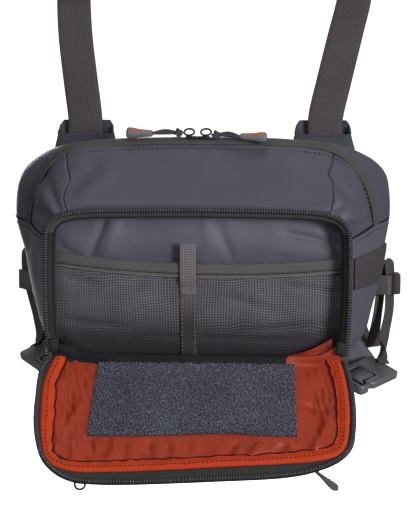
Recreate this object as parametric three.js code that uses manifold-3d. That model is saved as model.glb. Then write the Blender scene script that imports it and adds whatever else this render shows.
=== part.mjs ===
// Chest pack with its front pocket folded down, worn on a two-strap harness. Millimetres, +Z up.
// The origin lies on the back panel's face towards the wearer; the front faces -Y.
import * as THREE from 'three';
import { mergeVertices } from 'three/addons/utils/BufferGeometryUtils.js';
import Module from 'manifold-3d';

const wasm = await Module();
wasm.setup();
const { Manifold, Mesh: SolidMesh } = wasm;

// Cloth and clearances
const GAP = 0.3;
const WALL = 1.8;
const PANEL_DEPTH = 6;
const WEB_THICK = 1.5;
const SHOULDER_WEB = 25;
const REAR_WEB = 20;

// Bag
const BAND_DEPTH = 46;
const BAND_HALF = 3.7;
const RIM_DEPTH_TOP = 83;
const RIM_LEAN = 0.065;
const RIM_TOP = 39;
const REAR_PUFF = 3;
const FRONT_PUFF = 4.5;
const POCKET_BACK_DEPTH = 66;
const POCKET_BULGE = 8;

// Right half of the bag from the side seam up over the top, mirrored for the left. Each pair is x, z:
// rear where the wall meets the back panel, band along the top zip, rim along the front opening.
const UPPER = [
  { rear: [134.3, 27], band: [121.7, 25.5], rim: [104.3, 19] },
  { rear: [134.5, 42], band: [119.3, 40], rim: [102.8, 26.5] },
  { rear: [131.6, 57.5], band: [113, 57], rim: [97.5, 32.5] },
  { rear: [124, 66.5], band: [103, 70.5], rim: [89, 36] },
  { rear: [108, 73.5], band: [88, 78.8], rim: [74, 37.8] },
  { rear: [60, 79], band: [56, 82.3], rim: [42, 38.6] },
  { rear: [0, 80.5], band: [0, 83.2], rim: [0, RIM_TOP] },
];
// The same from the side seam down under the bag.
const LOWER = [
  { rear: [134.3, 27], band: [121.7, 25.5], rim: [104.3, 19] },
  { rear: [131.8, -3], band: [120.6, -3], rim: [104.5, -3] },
  { rear: [126, -32], band: [116, -32], rim: [104, -32] },
  { rear: [117, -58], band: [108, -56], rim: [101.5, -52] },
  { rear: [97, -70], band: [94, -68], rim: [89, -63] },
  { rear: [45, -72], band: [45, -71.5], rim: [45, -65.3] },
  { rear: [0, -72], band: [0, -71.5], rim: [0, -65.3] },
];

// Flap, in its own plane: x across, s away from the hinge
const HINGE = { y: -89.6, z: -61.5 };
const FLAP_SLOPE = 46;
const FLAP_SKEW = 0.035;
const FLAP_LENGTH = 97;
const FLAP_EDGE = [
  { x: 101.5, s: 2 },
  { x: 106, s: 20 },
  { x: 107, s: 42 },
  { x: 103.5, s: 66 },
  { x: 94, s: 83 },
  { x: 76, s: 93.5 },
  { x: 50, s: FLAP_LENGTH },
  { x: 0, s: FLAP_LENGTH },
];
const LINING_LEVEL = -3.2;
const LINING_START = 3.2;
const SHELL_START = 1.2;
const SHELL_DEPTH = 13;
const PATCH = { width: 135, near: 5, far: 61.5, thick: 1.6 };

// Harness: centre line of each strap and the direction of its width
const SLEEVE = { x: 86.5, base: 44, top: 38, back: 95, lip: 82, depth: 11 };
const ADJUSTER = { width: 34, height: 26, thick: 2.8, bar: 2.4, slot: 8 };
const BUCKLE = { length: 44, width: 27, thick: 7, waist: 9.8, seam: 26 };
const KEEPER = { height: 14, wall: 1.4, halfLength: 11, halfGap: 5.6 };

const PALETTE = {
  shell: 0x525460,
  back: 0x3e4046,
  webbing: 0x4b4649,
  tape: 0x484944,
  mesh: 0x58555c,
  binding: 0x64635f,
  strip: 0x7d7576,
  lining: 0xa0402a,
  orange: 0xcd4426,
  patch: 0x585a69,
  coil: 0x191a1a,
  rubber: 0x55575c,
  plastic: 0x4b4c50,
  metal: 0x8e8f92,
  sleeve: 0x30333a,
  cord: 0x3a3b3f,
};

const part = new THREE.Group();
const v3 = (x, y, z) => new THREE.Vector3(x, y, z);

/** Adds a named mesh with a material of its own. */
function add(name, geometry, colour, parent = part) {
  const mesh = new THREE.Mesh(geometry, new THREE.MeshStandardMaterial({ color: PALETTE[colour] }));
  mesh.name = name;
  parent.add(mesh);
  return mesh;
}

/** A closed surface from points and faces, turned so that it faces out. */
function closed(points, faces) {
  let volume = 0;
  for (const [a, b, c] of faces) {
    volume += points[a].dot(points[b].clone().cross(points[c]));
  }
  const turned = volume < 0 ? faces.map(([a, b, c]) => [a, c, b]) : faces;
  const geometry = new THREE.BufferGeometry().setFromPoints(points);
  geometry.setIndex(turned.flat());
  return geometry;
}

/** The unit normal of a surface that maps u, v to a point. */
function normalOf(surface, u, v, side) {
  const step = 0.002;
  const low = (t) => Math.max(0, t - step);
  const high = (t) => Math.min(1, t + step);
  const across = surface(high(u), v).sub(surface(low(u), v));
  const along = surface(u, high(v)).sub(surface(u, low(v)));
  return across.cross(along).multiplyScalar(side).normalize();
}

/** A sheet of cloth over a surface: its face lies `lift` outside the surface, its back `thick` below. */
function sheet(surface, columns, rows, { thick = WALL, lift = 0, side = 1 } = {}) {
  const face = [];
  const back = [];
  for (let i = 0; i <= columns; i += 1) {
    for (let j = 0; j <= rows; j += 1) {
      const point = surface(i / columns, j / rows);
      const normal = normalOf(surface, i / columns, j / rows, side);
      face.push(point.clone().addScaledVector(normal, lift));
      back.push(point.clone().addScaledVector(normal, lift - thick));
    }
  }
  const count = face.length;
  const at = (i, j) => i * (rows + 1) + j;
  const faces = [];
  for (let i = 0; i < columns; i += 1) {
    for (let j = 0; j < rows; j += 1) {
      const [a, b, c, d] = [at(i, j), at(i + 1, j), at(i + 1, j + 1), at(i, j + 1)];
      faces.push([a, b, c], [a, c, d], [count + a, count + c, count + b], [count + a, count + d, count + c]);
    }
  }
  const border = [];
  for (let i = 0; i < columns; i += 1) border.push(at(i, 0));
  for (let j = 0; j < rows; j += 1) border.push(at(columns, j));
  for (let i = columns; i > 0; i -= 1) border.push(at(i, rows));
  for (let j = rows; j > 0; j -= 1) border.push(at(0, j));
  border.forEach((from, k) => {
    const to = border[(k + 1) % border.length];
    faces.push([to, from, count + from], [to, count + from, count + to]);
  });
  return closed([...face, ...back], faces);
}

/** A solid swept through frames { at, across, up } with one flat profile of [across, up] pairs. */
function sweep(frames, profile) {
  const points = [];
  const size = profile.length;
  for (const { at, across, up } of frames) {
    for (const [a, b] of profile) {
      points.push(at.clone().addScaledVector(across, a).addScaledVector(up, b));
    }
  }
  const faces = [];
  for (let k = 0; k + 1 < frames.length; k += 1) {
    for (let i = 0; i < size; i += 1) {
      const next = (i + 1) % size;
      const [a, b] = [k * size + i, k * size + next];
      faces.push([a, b, b + size], [a, b + size, a + size]);
    }
  }
  const flat = profile.map(([a, b]) => new THREE.Vector2(a, b));
  const cap = THREE.ShapeUtils.triangulateShape(flat, []);
  const forward = THREE.ShapeUtils.isClockWise(flat) ? 1 : -1;
  const last = (frames.length - 1) * size;
  const turn = ([a, b, c], keep) => (keep ? [a, b, c] : [a, c, b]);
  for (const face of cap) {
    faces.push(turn(face, forward < 0).reverse());
    faces.push(turn(face, forward < 0).map((i) => i + last));
  }
  return closed(points, faces);
}

/** Frames along a strap from rows { p: [x, y, z], w: [x, y, z] } of its centre and its width. */
function strapFrames(rows, stations) {
  const centre = new THREE.CatmullRomCurve3(rows.map(({ p }) => v3(...p)), false, 'centripetal');
  const width = new THREE.CatmullRomCurve3(rows.map(({ w }) => v3(...w)), false, 'centripetal');
  const frames = [];
  for (let k = 0; k <= stations; k += 1) {
    const t = k / stations;
    const tangent = centre.getTangent(t);
    const across = width.getPoint(t);
    across.addScaledVector(tangent, -across.dot(tangent)).normalize();
    frames.push({ at: centre.getPoint(t), across, up: tangent.clone().cross(across).normalize() });
  }
  return frames;
}

/** A flat webbing strap. */
function strap(rows, width, stations, thick = WEB_THICK) {
  const [a, b] = [width / 2, thick / 2];
  return sweep(strapFrames(rows, stations), [[-a, -b], [a, -b], [a, b], [-a, b]]);
}

/** A round cord or wire along points. */
function cord(points, diameter, steps, sides = 6) {
  const disc = new THREE.Shape();
  for (let k = 0; k < sides; k += 1) {
    const angle = (k / sides) * 2 * Math.PI;
    const [x, y] = [Math.cos(angle) * diameter / 2, Math.sin(angle) * diameter / 2];
    if (k === 0) disc.moveTo(x, y);
    else disc.lineTo(x, y);
  }
  disc.closePath();
  const path = new THREE.CatmullRomCurve3(points, false, 'centripetal');
  return new THREE.ExtrudeGeometry(disc, { steps, extrudePath: path, bevelEnabled: false });
}

/** A geometry as a solid that can be joined or cut. */
function toSolid(geometry) {
  const bare = new THREE.BufferGeometry();
  bare.setAttribute('position', geometry.getAttribute('position').clone());
  if (geometry.index) bare.setIndex(geometry.index.clone());
  const merged = mergeVertices(bare, 1e-4);
  return new Manifold(new SolidMesh({
    numProp: 3,
    vertProperties: new Float32Array(merged.attributes.position.array),
    triVerts: new Uint32Array(merged.index.array),
  }));
}

/** A joined or cut solid as a geometry. */
function toGeometry(solid) {
  const mesh = solid.getMesh();
  const geometry = new THREE.BufferGeometry();
  geometry.setAttribute('position', new THREE.BufferAttribute(mesh.vertProperties.slice(), 3));
  geometry.setIndex(new THREE.BufferAttribute(mesh.triVerts.slice(), 1));
  return geometry;
}

/** A plate from an outline of [x, y] pairs, with holes, from z0 upwards. */
function plate(outline, holes, depth, z0 = 0) {
  const shape = new THREE.Shape(outline.map(([x, y]) => new THREE.Vector2(x, y)));
  for (const hole of holes) shape.holes.push(new THREE.Path(hole.map(([x, y]) => new THREE.Vector2(x, y))));
  return new THREE.ExtrudeGeometry(shape, { depth, bevelEnabled: false }).translate(0, 0, z0);
}

/** Corners of a rectangle with cut corners, round x, y. */
function cutBox(x, y, width, height, cut) {
  const [a, b] = [width / 2, height / 2];
  return [
    [x - a + cut, y - b], [x + a - cut, y - b], [x + a, y - b + cut], [x + a, y + b - cut],
    [x + a - cut, y + b], [x - a + cut, y + b], [x - a, y + b - cut], [x - a, y - b + cut],
  ];
}

// The bag's walls

const rimDepth = (z) => -(RIM_DEPTH_TOP + RIM_LEAN * (RIM_TOP - z));

/** The three seams of one arc, left to right. */
function seams(rows) {
  const depth = {
    rear: () => -PANEL_DEPTH - GAP,
    band: () => -BAND_DEPTH,
    rim: rimDepth,
  };
  const curve = (key) => {
    const right = rows.map((row) => v3(row[key][0], depth[key](row[key][1]), row[key][1]));
    const left = right.slice(0, -1).map((p) => v3(-p.x, p.y, p.z));
    return new THREE.CatmullRomCurve3([...left, ...right.reverse()], false, 'centripetal');
  };
  return { rear: curve('rear'), band: curve('band'), rim: curve('rim') };
}
const upperSeams = seams(UPPER);
const lowerSeams = seams(LOWER);

/** A point of the wall: u along the arc, v from the back panel (0) over the band (0.5) to the rim (1). */
function wall(arc, side, u, v) {
  const rearward = v < 0.5;
  const from = (rearward ? arc.rear : arc.band).getPoint(u);
  const to = (rearward ? arc.band : arc.rim).getPoint(u);
  const t = rearward ? 2 * v : 2 * v - 1;
  const tangent = arc.band.getTangent(u);
  const out = tangent.cross(to.clone().sub(from)).multiplyScalar(side).normalize();
  const puff = rearward ? REAR_PUFF : FRONT_PUFF;
  return from.lerp(to, t).addScaledVector(out, 4 * t * (1 - t) * puff);
}
const EDGE = 0.0012;
const trim = (u) => EDGE + u * (1 - 2 * EDGE);
const upperWall = (u, v) => wall(upperSeams, -1, trim(u), v);
const lowerWall = (u, v) => wall(lowerSeams, 1, trim(u), v);

/** How much of v a distance from the band takes on its rear or its front side. */
function bandShare(u, distance, towards) {
  const from = upperSeams.band.getPoint(trim(u));
  return (0.5 * distance) / from.distanceTo(upperSeams[towards].getPoint(trim(u)));
}
const seamHalf = BAND_HALF + GAP;
const rearSurface = (u, v) => upperWall(u, v * (0.5 - bandShare(u, seamHalf, 'rear')));
const frontSurface = (u, v) => {
  const start = 0.5 + bandShare(u, seamHalf, 'rim');
  return upperWall(u, start + v * (1 - start));
};
const bandSurface = (u, v) => {
  const low = 0.5 - bandShare(u, BAND_HALF, 'rear');
  const high = 0.5 + bandShare(u, BAND_HALF, 'rim');
  return upperWall(u, low + v * (high - low));
};
add('rear_wall', sheet(rearSurface, 28, 3, { side: -1 }), 'shell');
add('front_wall', sheet(frontSurface, 28, 5, { side: -1 }), 'shell');
add('top_zip', sheet(bandSurface, 36, 2, { side: -1, lift: 0.5 }), 'tape');
add('side_wall', sheet(lowerWall, 30, 6, { side: 1 }), 'shell');

// Back panel with the two lower wings

const PANEL_GROW = 0.8;
const WING = { root: [117, -60], tip: [128.5, -80], end: [121, -83.5], heel: [98, -72.5] };

/** The back panel's outline with its wings, grown by an amount. */
function panelOutline(grow) {
  const over = upperSeams.rear.getPoints(40).map((p) => [p.x, p.z]);
  const below = lowerSeams.rear.getPoints(40).filter((p) => p.z > WING.root[1] && p.z < 26);
  const under = below.map((p) => [p.x, p.z]);
  const low = [WING.root, WING.tip, WING.end, WING.heel];
  const leftLow = low.map(([x, z]) => [-x, z]);
  const right = under.filter(([x]) => x > 0).sort((a, b) => b[1] - a[1]);
  const left = under.filter(([x]) => x < 0).sort((a, b) => a[1] - b[1]);
  const ring = [...over, ...right, ...low, ...leftLow.reverse(), ...left];
  return ring.map(([x, z]) => {
    const length = Math.hypot(x, z);
    return [x * (1 + grow / length), z * (1 + grow / length)];
  });
}
const panelSolid = plate(panelOutline(PANEL_GROW), [], PANEL_DEPTH).rotateX(Math.PI / 2);
add('back_panel', panelSolid, 'back');

// Front pocket

/** Depth of the pocket's back wall, puffed forwards. */
function pocketDepth(x, z) {
  const side = Math.max(0, 1 - (x / 110) ** 2);
  const rise = Math.max(0, 1 - ((z + 4) / 62) ** 2);
  return -(POCKET_BACK_DEPTH + POCKET_BULGE * Math.sqrt(side * rise));
}
const POCKET_V = 0.745;
const POCKET_INSET = WALL + 8 * GAP;

/** The ring inside the bag's wall that the pocket's back wall is sewn to, as [x, z]. */
function pocketRing(count) {
  const inside = (surface, u, side) => {
    const point = surface(u, POCKET_V);
    point.addScaledVector(normalOf(surface, u, POCKET_V, side), -POCKET_INSET);
    return [point.x, point.z];
  };
  const shares = Array.from({ length: count }, (_, k) => (k + 0.5) / count);
  return [
    ...shares.map((u) => inside(upperWall, u, -1)),
    ...shares.map((u) => inside(lowerWall, 1 - u, 1)),
  ];
}

/** A disc of cloth inside a ring of [x, z], over a depth function. */
function disc(ring, reaches, depth, thick) {
  const centre = [0, -4];
  const points = [];
  for (const shift of [0, thick]) {
    for (const reach of reaches) {
      for (const [x, z] of ring) {
        const [px, pz] = [centre[0] + (x - centre[0]) * reach, centre[1] + (z - centre[1]) * reach];
        points.push(v3(px, depth(px, pz) + shift, pz));
      }
    }
    points.push(v3(centre[0], depth(...centre) + shift, centre[1]));
  }
  const size = ring.length;
  const layer = reaches.length * size + 1;
  const faces = [];
  for (let i = 0; i < size; i += 1) {
    const next = (i + 1) % size;
    for (let j = 0; j + 1 < reaches.length; j += 1) {
      const [a, b, c, d] = [j * size + i, j * size + next, (j + 1) * size + next, (j + 1) * size + i];
      faces.push([a, b, c], [a, c, d], [layer + a, layer + c, layer + b], [layer + a, layer + d, layer + c]);
    }
    const rowStart = (reaches.length - 1) * size;
    const hub = reaches.length * size;
    faces.push([rowStart + i, rowStart + next, hub]);
    faces.push([layer + rowStart + next, layer + rowStart + i, layer + hub]);
    faces.push([next, i, layer + i], [next, layer + i, layer + next]);
  }
  return closed(points, faces);
}
add('pocket_back', disc(pocketRing(18), [1, 0.88, 0.7, 0.45, 0.2], pocketDepth, 1.4), 'shell');

// Mesh pocket, its bound edge and the webbing strip, each a little in front of the last
const MESH = { half: 97, low: -60, thick: 1, slack: 2.6 };
const BIND = { height: 9, thick: 1.4 };
const STRIP = { x: -6.6, width: 11, top: 15, low: -59, thick: 1.2 };
const meshTop = (x) => 1 + 0.00052 * x * x - 0.016 * x;
const meshGap = (x, z) => {
  const across = Math.max(0, 1 - (x / MESH.half) ** 4);
  return 0.4 + MESH.slack * across * Math.min(1, (z - MESH.low) / 25);
};
const meshSurface = (u, v) => {
  const x = MESH.half * (2 * u - 1);
  const z = MESH.low + v * (meshTop(x) - MESH.low);
  return v3(x, pocketDepth(x, z) - meshGap(x, z), z);
};
add('mesh_pocket', sheet(meshSurface, 20, 6, { thick: MESH.thick, lift: MESH.thick }), 'mesh');
const bindSurface = (u, v) => {
  const x = MESH.half * (2 * u - 1);
  const z = meshTop(x) - BIND.height + v * BIND.height;
  return v3(x, pocketDepth(x, z) - meshGap(x, z) - MESH.thick - GAP, z);
};
add('mesh_binding', sheet(bindSurface, 24, 1, { thick: BIND.thick, lift: BIND.thick }), 'binding');
const stripSurface = (u, v) => {
  const x = STRIP.x + STRIP.width * (u - 0.5);
  const z = STRIP.low + v * (STRIP.top - STRIP.low);
  const over = THREE.MathUtils.smoothstep(z, meshTop(x) - BIND.height - 9, meshTop(x) - BIND.height - 1);
  const seat = pocketDepth(x, z) - meshGap(x, Math.min(z, meshTop(x))) - MESH.thick - 2 * GAP;
  return v3(x, seat - over * (BIND.thick + GAP), z);
};
add('center_webbing', sheet(stripSurface, 2, 18, { thick: STRIP.thick, lift: STRIP.thick }), 'strip');

// Zip half round the opening, from the lower left over the top to the lower right
const COIL = 1.25;
const ZIP_LOW = -48;
const zipFrames = [];
{
  const sides = lowerSeams.rim.getPoints(60).filter((p) => p.z > ZIP_LOW).reverse();
  const inOpening = [
    ...sides.filter((p) => p.x < 0),
    ...upperSeams.rim.getPoints(44).slice(1, -1),
    ...sides.filter((p) => p.x > 0),
  ];
  const line = new THREE.CatmullRomCurve3(inOpening, false, 'centripetal');
  const stations = 46;
  for (let k = 0; k <= stations; k += 1) {
    const t = k / stations;
    const tangent = line.getTangentAt(t);
    const up = v3(0, -1, 0);
    const across = up.clone().cross(tangent).normalize();
    if (across.dot(line.getPointAt(t).clone().setY(0)) > 0) across.negate();
    const at = line.getPointAt(t).addScaledVector(up, 1.7).addScaledVector(across, 1.2);
    zipFrames.push({ at, across, up });
  }
}
const tapeProfile = (reach, drop) => [
  [-COIL, -0.6], [-0.6, -COIL], [0.9, -1], [reach, -drop - 0.7], [reach, -drop],
  [COIL, 0], [0.6, COIL], [-0.6, COIL], [-COIL, 0.6],
];
add('pocket_zip', sweep(zipFrames, tapeProfile(7.4, 2.4)), 'tape');

// Folds at the foot of the opening and the blocks over the zip's ends
const FOLD = { near: 52, far: 92, low: -64.2, lift: 3.4, rise: 10 };
for (const [name, sign, colour] of [['left', -1, 'shell'], ['right', 1, 'orange']]) {
  const fold = (u, v) => {
    const x = sign * (FOLD.near + u * (FOLD.far - FOLD.near));
    const z = FOLD.low + FOLD.lift * u * u + v * (1.5 + FOLD.rise * u * u);
    return v3(x, -79.5 - 4.5 * (1 - v) - 1.6 * Math.sin(Math.PI * u), z);
  };
  add(`pocket_fold_${name}`, sheet(fold, 8, 3, { thick: 1.2, side: sign }), colour);
  const block = new THREE.BoxGeometry(6.5, 4.5, 9).rotateY(sign * 0.2).translate(sign * 97.8, -91.9, -54.2);
  add(`zip_end_${name}`, block, 'coil');
}

// Flap

const flap = new THREE.Group();
flap.position.set(0, HINGE.y, HINGE.z);
flap.rotation.x = THREE.MathUtils.degToRad(FLAP_SLOPE);
part.add(flap);
const flapRow = ({ x, s }) => v3(x, -(s - FLAP_SKEW * x * (s / FLAP_LENGTH)), 0);
const flapRight = FLAP_EDGE.map(flapRow);
const flapLeft = FLAP_EDGE.slice(0, -1).map(({ x, s }) => flapRow({ x: -x, s }));
const flapEdge = new THREE.CatmullRomCurve3([...flapLeft, ...flapRight.reverse()], false, 'centripetal');

/** A point inside the flap's edge by an inset, at t along the edge. */
function flapInset(t, inset, level, start) {
  const tangent = flapEdge.getTangent(t);
  const inward = v3(-tangent.y, tangent.x, 0).normalize();
  const point = flapEdge.getPoint(t).addScaledVector(inward, inset);
  return v3(point.x, Math.min(point.y, -start), level);
}

/** Frames along the flap's edge, inset by a distance. */
function flapFrames(inset, level, stations) {
  const frames = [];
  for (let k = 0; k <= stations; k += 1) {
    const t = k / stations;
    const tangent = flapEdge.getTangent(t);
    const across = v3(-tangent.y, tangent.x, 0).normalize();
    const at = flapEdge.getPoint(t).addScaledVector(across, inset);
    frames.push({ at: v3(at.x, Math.min(at.y, -0.6), level), across, up: v3(0, 0, 1) });
  }
  return frames;
}
const TAPE_REACH = 8.4;
const BINDING = { near: TAPE_REACH + GAP + 1.2, width: 10, thick: 1.5 };
add('flap_zip', sweep(flapFrames(COIL, 0, 36), tapeProfile(TAPE_REACH, 1.4)), 'tape', flap);
const bindingProfile = [[0, -1.7], [BINDING.width, -2.3], [BINDING.width, -0.8], [0, -0.2]];
add('flap_binding', sweep(flapFrames(BINDING.near, -0.6, 36), bindingProfile), 'orange', flap);

/** A layer of the flap from its hinge (v = 0) to its edge (v = 1), through rows { v, inset, level }. */
function flapSurface(rows, hingeHalf, start) {
  return (u, v) => {
    const hinge = v3(hingeHalf * (2 * u - 1), -start, rows[0].level);
    const next = Math.max(1, rows.findIndex((row) => row.v >= v - 1e-9));
    const [low, high] = [rows[next - 1], rows[next]];
    const t = (v - low.v) / (high.v - low.v);
    const level = THREE.MathUtils.lerp(low.level, high.level, t);
    const inset = THREE.MathUtils.lerp(low.inset, high.inset, t);
    if (next === 1) {
      const inner = flapInset(u, rows[1].inset, level, start);
      return hinge.setZ(level).lerp(inner, t);
    }
    return flapInset(u, inset, level, start);
  };
}
const liningRows = [
  { v: 0, inset: 60, level: LINING_LEVEL },
  { v: 0.75, inset: 24, level: LINING_LEVEL },
  { v: 1, inset: BINDING.near + 1.5, level: LINING_LEVEL },
];
const lining = flapSurface(liningRows, 60, LINING_START);
add('flap_lining', sheet(lining, 32, 4, { thick: 1.2, side: -1 }), 'lining', flap);
const shellRows = [
  { v: 0, inset: 60, level: -10.1 },
  { v: 0.6, inset: 16, level: -SHELL_DEPTH },
  { v: 0.8, inset: 3, level: -10.5 },
  { v: 1, inset: 1.2, level: -1.55 },
];
const outerShell = flapSurface(shellRows, 60, SHELL_START);
add('flap_shell', sheet(outerShell, 32, 5, { thick: 1.6, side: -1 }), 'shell', flap);
const patch = new THREE.BoxGeometry(PATCH.width, PATCH.far - PATCH.near, PATCH.thick);
patch.translate(0, -(PATCH.near + PATCH.far) / 2, LINING_LEVEL + GAP + PATCH.thick / 2);
add('loop_patch', patch, 'patch', flap);

// Wire ring and ribbed pull under the flap's far edge
const wireRing = new THREE.TorusGeometry(3.6, 0.55, 6, 16).rotateX(0.4).translate(-73, -100.9, -2);
add('flap_ring', wireRing, 'metal', flap);
const pull = plate([
  [-2, 0], [2, 0], [3.2, 7], [3.8, 15], [2.6, 17], [-2.6, 17], [-3.8, 15], [-3.2, 7],
], [], 2.6);
pull.rotateZ(Math.PI + 0.82).translate(84.7, -88.1, -7);
add('flap_pull', pull, 'rubber', flap);

// Webbing band on the right flank
const BAND_TOP_U = 0.95;
const BAND_LOW_U = 0.882;
const flank = (u, v) => lowerWall(BAND_LOW_U + u * (BAND_TOP_U - BAND_LOW_U), 0.06 + 0.86 * v);
add('side_webbing', sheet(flank, 4, 8, { thick: 1.3, lift: 1.3 + GAP, side: 1 }), 'webbing');

// Top sliders, rings, cords and tabs
const TOP_Y = -BAND_DEPTH;
const TOP_Z = 83.2 + 0.5;
const PULLS = [
  { name: 'left', sign: -1, slider: -6.8, ring: -8.2, knot: -15.8, tab: -42.9, y: -48, z: 88.6, lean: 0.02 },
  { name: 'right', sign: 1, slider: 1.8, ring: 3.4, knot: 10.5, tab: 36.8, y: -54.5, z: 87.2, lean: 0.06 },
];
for (const { name, sign, slider, ring, knot, tab, y: pullY, z, lean } of PULLS) {
  const body = new THREE.BoxGeometry(8, 7, 1.8).translate(slider, TOP_Y, TOP_Z + 1.85);
  add(`top_slider_${name}`, body, 'metal');
  const wire = new THREE.TorusGeometry(3.2, 0.5, 6, 14).rotateX(0.62).translate(ring, TOP_Y - 1, TOP_Z + 5.4);
  add(`pull_ring_${name}`, wire, 'metal');
  const ball = toSolid(new THREE.SphereGeometry(3.1, 8, 6).scale(1.15, 0.9, 1).translate(knot, TOP_Y - 2, z));
  const reach = tab - sign * 9.7;
  const strand = (y) => toSolid(cord([
    v3(knot, TOP_Y - 2 + y * 0.4, z),
    v3((knot + reach) / 2, (TOP_Y + pullY) / 2 + y, z + 0.3),
    v3(reach, pullY + y, z - lean * 20),
  ], 1.7, 6));
  add(`pull_cord_${name}`, toGeometry(Manifold.union([ball, strand(-1.4), strand(1.4)])), 'cord');
  const half = 9;
  const taper = [[-half, -2.6], [half, -3.6], [half + 0.4, 0], [half, 3.6], [-half, 2.6]];
  const wedge = plate(taper, [], 5.4, -2.7);
  wedge.rotateX(Math.PI / 2 - 0.35);
  if (sign < 0) wedge.rotateZ(Math.PI);
  wedge.rotateY(lean).translate(tab, pullY, z - lean * 20);
  add(`pull_tab_${name}`, wedge, 'rubber');
}

// Sleeves over the straps' feet

const clearOf = [
  toSolid(sheet(rearSurface, 30, 3, { side: -1, lift: GAP, thick: 22 })),
  toSolid(plate(panelOutline(PANEL_GROW + 0.35), [], PANEL_DEPTH + 1, -0.5).rotateX(Math.PI / 2)),
  toSolid(sheet(bandSurface, 36, 2, { side: -1, lift: 0.5 + GAP, thick: 10 })),
];

/** A flat cloth tunnel that tapers upwards, with a slanted mouth. */
function sleeve(sign) {
  const tunnel = (shrink, low, high) => {
    const depth = SLEEVE.depth - 2 * shrink;
    const at = (width, z) => cutBox(0, 0, width - 2 * shrink, depth, 1.6).map(([x, y]) => v3(x, y, z));
    const rows = [at(SLEEVE.base + 4, low), at(SLEEVE.base - 1, (low + high) / 2), at(SLEEVE.top, high)];
    const points = rows.flat();
    const size = rows[0].length;
    const faces = [];
    for (let k = 0; k + 1 < rows.length; k += 1) {
      for (let i = 0; i < size; i += 1) {
        const [a, b] = [k * size + i, k * size + ((i + 1) % size)];
        faces.push([a, b, b + size], [a, b + size, a + size]);
      }
    }
    const last = (rows.length - 1) * size;
    for (let i = 1; i + 1 < size; i += 1) faces.push([0, i + 1, i], [last, last + i, last + i + 1]);
    return toSolid(closed(points, faces).translate(sign * SLEEVE.x, -SLEEVE.depth / 2 - 0.4, 0));
  };
  const outside = tunnel(0, 66, SLEEVE.back);
  const inside = tunnel(1.5, 60, SLEEVE.back + 6);
  const slope = Math.atan2(SLEEVE.back - SLEEVE.lip, SLEEVE.depth);
  const mouth = new THREE.BoxGeometry(80, 60, 40).translate(0, 0, 20).rotateX(slope);
  mouth.translate(sign * SLEEVE.x, -SLEEVE.depth - 0.4, SLEEVE.lip);
  let cloth = outside.subtract(inside).subtract(toSolid(mouth));
  for (const solid of clearOf) cloth = cloth.subtract(solid);
  const pieces = cloth.decompose().sort((a, b) => b.volume() - a.volume());
  return toGeometry(pieces[0]);
}
add('strap_sleeve_left', sleeve(-1), 'sleeve');
add('strap_sleeve_right', sleeve(1), 'sleeve');

// Harness straps: p is the centre line, w the direction of the webbing's width

/** A ladder of three bars with the frame that the straps run through. */
function adjusterFrame({ at, above, below }) {
  const up = v3(...above).sub(v3(...below)).normalize();
  const across = v3(1, 0, 0);
  across.addScaledVector(up, -across.dot(up)).normalize();
  const back = up.clone().cross(across);
  const place = (n, h) => v3(...at).addScaledVector(up, h).addScaledVector(back, n).toArray();
  return { up, across, back, place };
}
const SIDES = [
  {
    name: 'left',
    adjuster: { at: [-100.4, 29, 195.5], above: [-104, 52, 230], below: [-98.6, 18, 178] },
    front: [[-87, -6.2, 82], [-87, -6.2, 97], [-90.5, -2, 122], [-95.6, 8, 155]],
    rear: [
      [-106, 60, 238], [-110, 84, 254], [-113, 106, 241], [-113.4, 115, 212], [-112.6, 116, 186],
      [-108.6, 116, 140], [-104.4, 115, 95], [-103, 110, 50], [-104, 97, 8], [-107, 76, -31],
    ],
    foot: [[-110.5, 55, -55], [-114, 38, -67.5], [-117, 25.5, -66.5], [-119.6, 18.8, -55]],
    bundle: {
      inner: [-124.6, -127.4], tip: [-130.4, -1.5],
      outer: [[-133.6, 13.4, -24], [-133.8, 11, -41], [-134.4, 2, -54], [-134.6, -7, -62], [-132.4, -11.6, -67.6]],
    },
    buckle: { from: [-99, -46, -84], to: [-126, -16, -74], face: [-0.1, -0.7, 0.7] },
    corner: [-92, -57, -73.6],
  },
  {
    name: 'right',
    adjuster: { at: [108, 31, 199], above: [111.5, 54, 232], below: [106, 22, 184] },
    front: [[86.3, -6.2, 82], [86.3, -6.2, 97], [92.2, -2, 124], [100.4, 9, 158]],
    rear: [
      [112.5, 62, 242], [112.8, 86, 257], [111.6, 107, 243], [110, 115, 214], [108, 116, 186],
      [97.5, 116, 140], [88.4, 115, 95], [88, 110, 50], [92, 97, 8], [100, 76, -33],
    ],
    foot: [[108, 55, -58], [113.5, 38, -71], [117.4, 25.5, -70], [120.6, 18.8, -58]],
    bundle: {
      inner: [125.4, 128.4], tip: [131.5, -7.5],
      outer: [[134.6, 13.4, -24], [135.6, 11, -44], [137.6, 1.5, -60], [138.4, -7.5, -71], [136.2, -12, -78]],
    },
    buckle: { from: [103.5, -49, -90], to: [130.5, -16, -84], face: [0.1, -0.7, 0.7] },
    corner: [95, -57, -73],
  },
];

// How the strap folds over at its upper end, from its tip
const TIP_TURN = [[-3, 0.6, -5.5], [-2.4, 0.4, -1.8], [0, 0, 0], [2.4, -0.4, -1.8], [3, -0.6, -5.5]];
// How the strap's width turns at its foot, as [across, back]
const FOOT_TURN = [[1, 0.15], [0.85, 0.5], [0.6, 0.8], [0.4, 0.92]];

/** A direction part of the way from one to another. */
const easeWidth = (from, to, share) => from.map((c, k) => c + (to[k] - c) * share);

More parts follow.
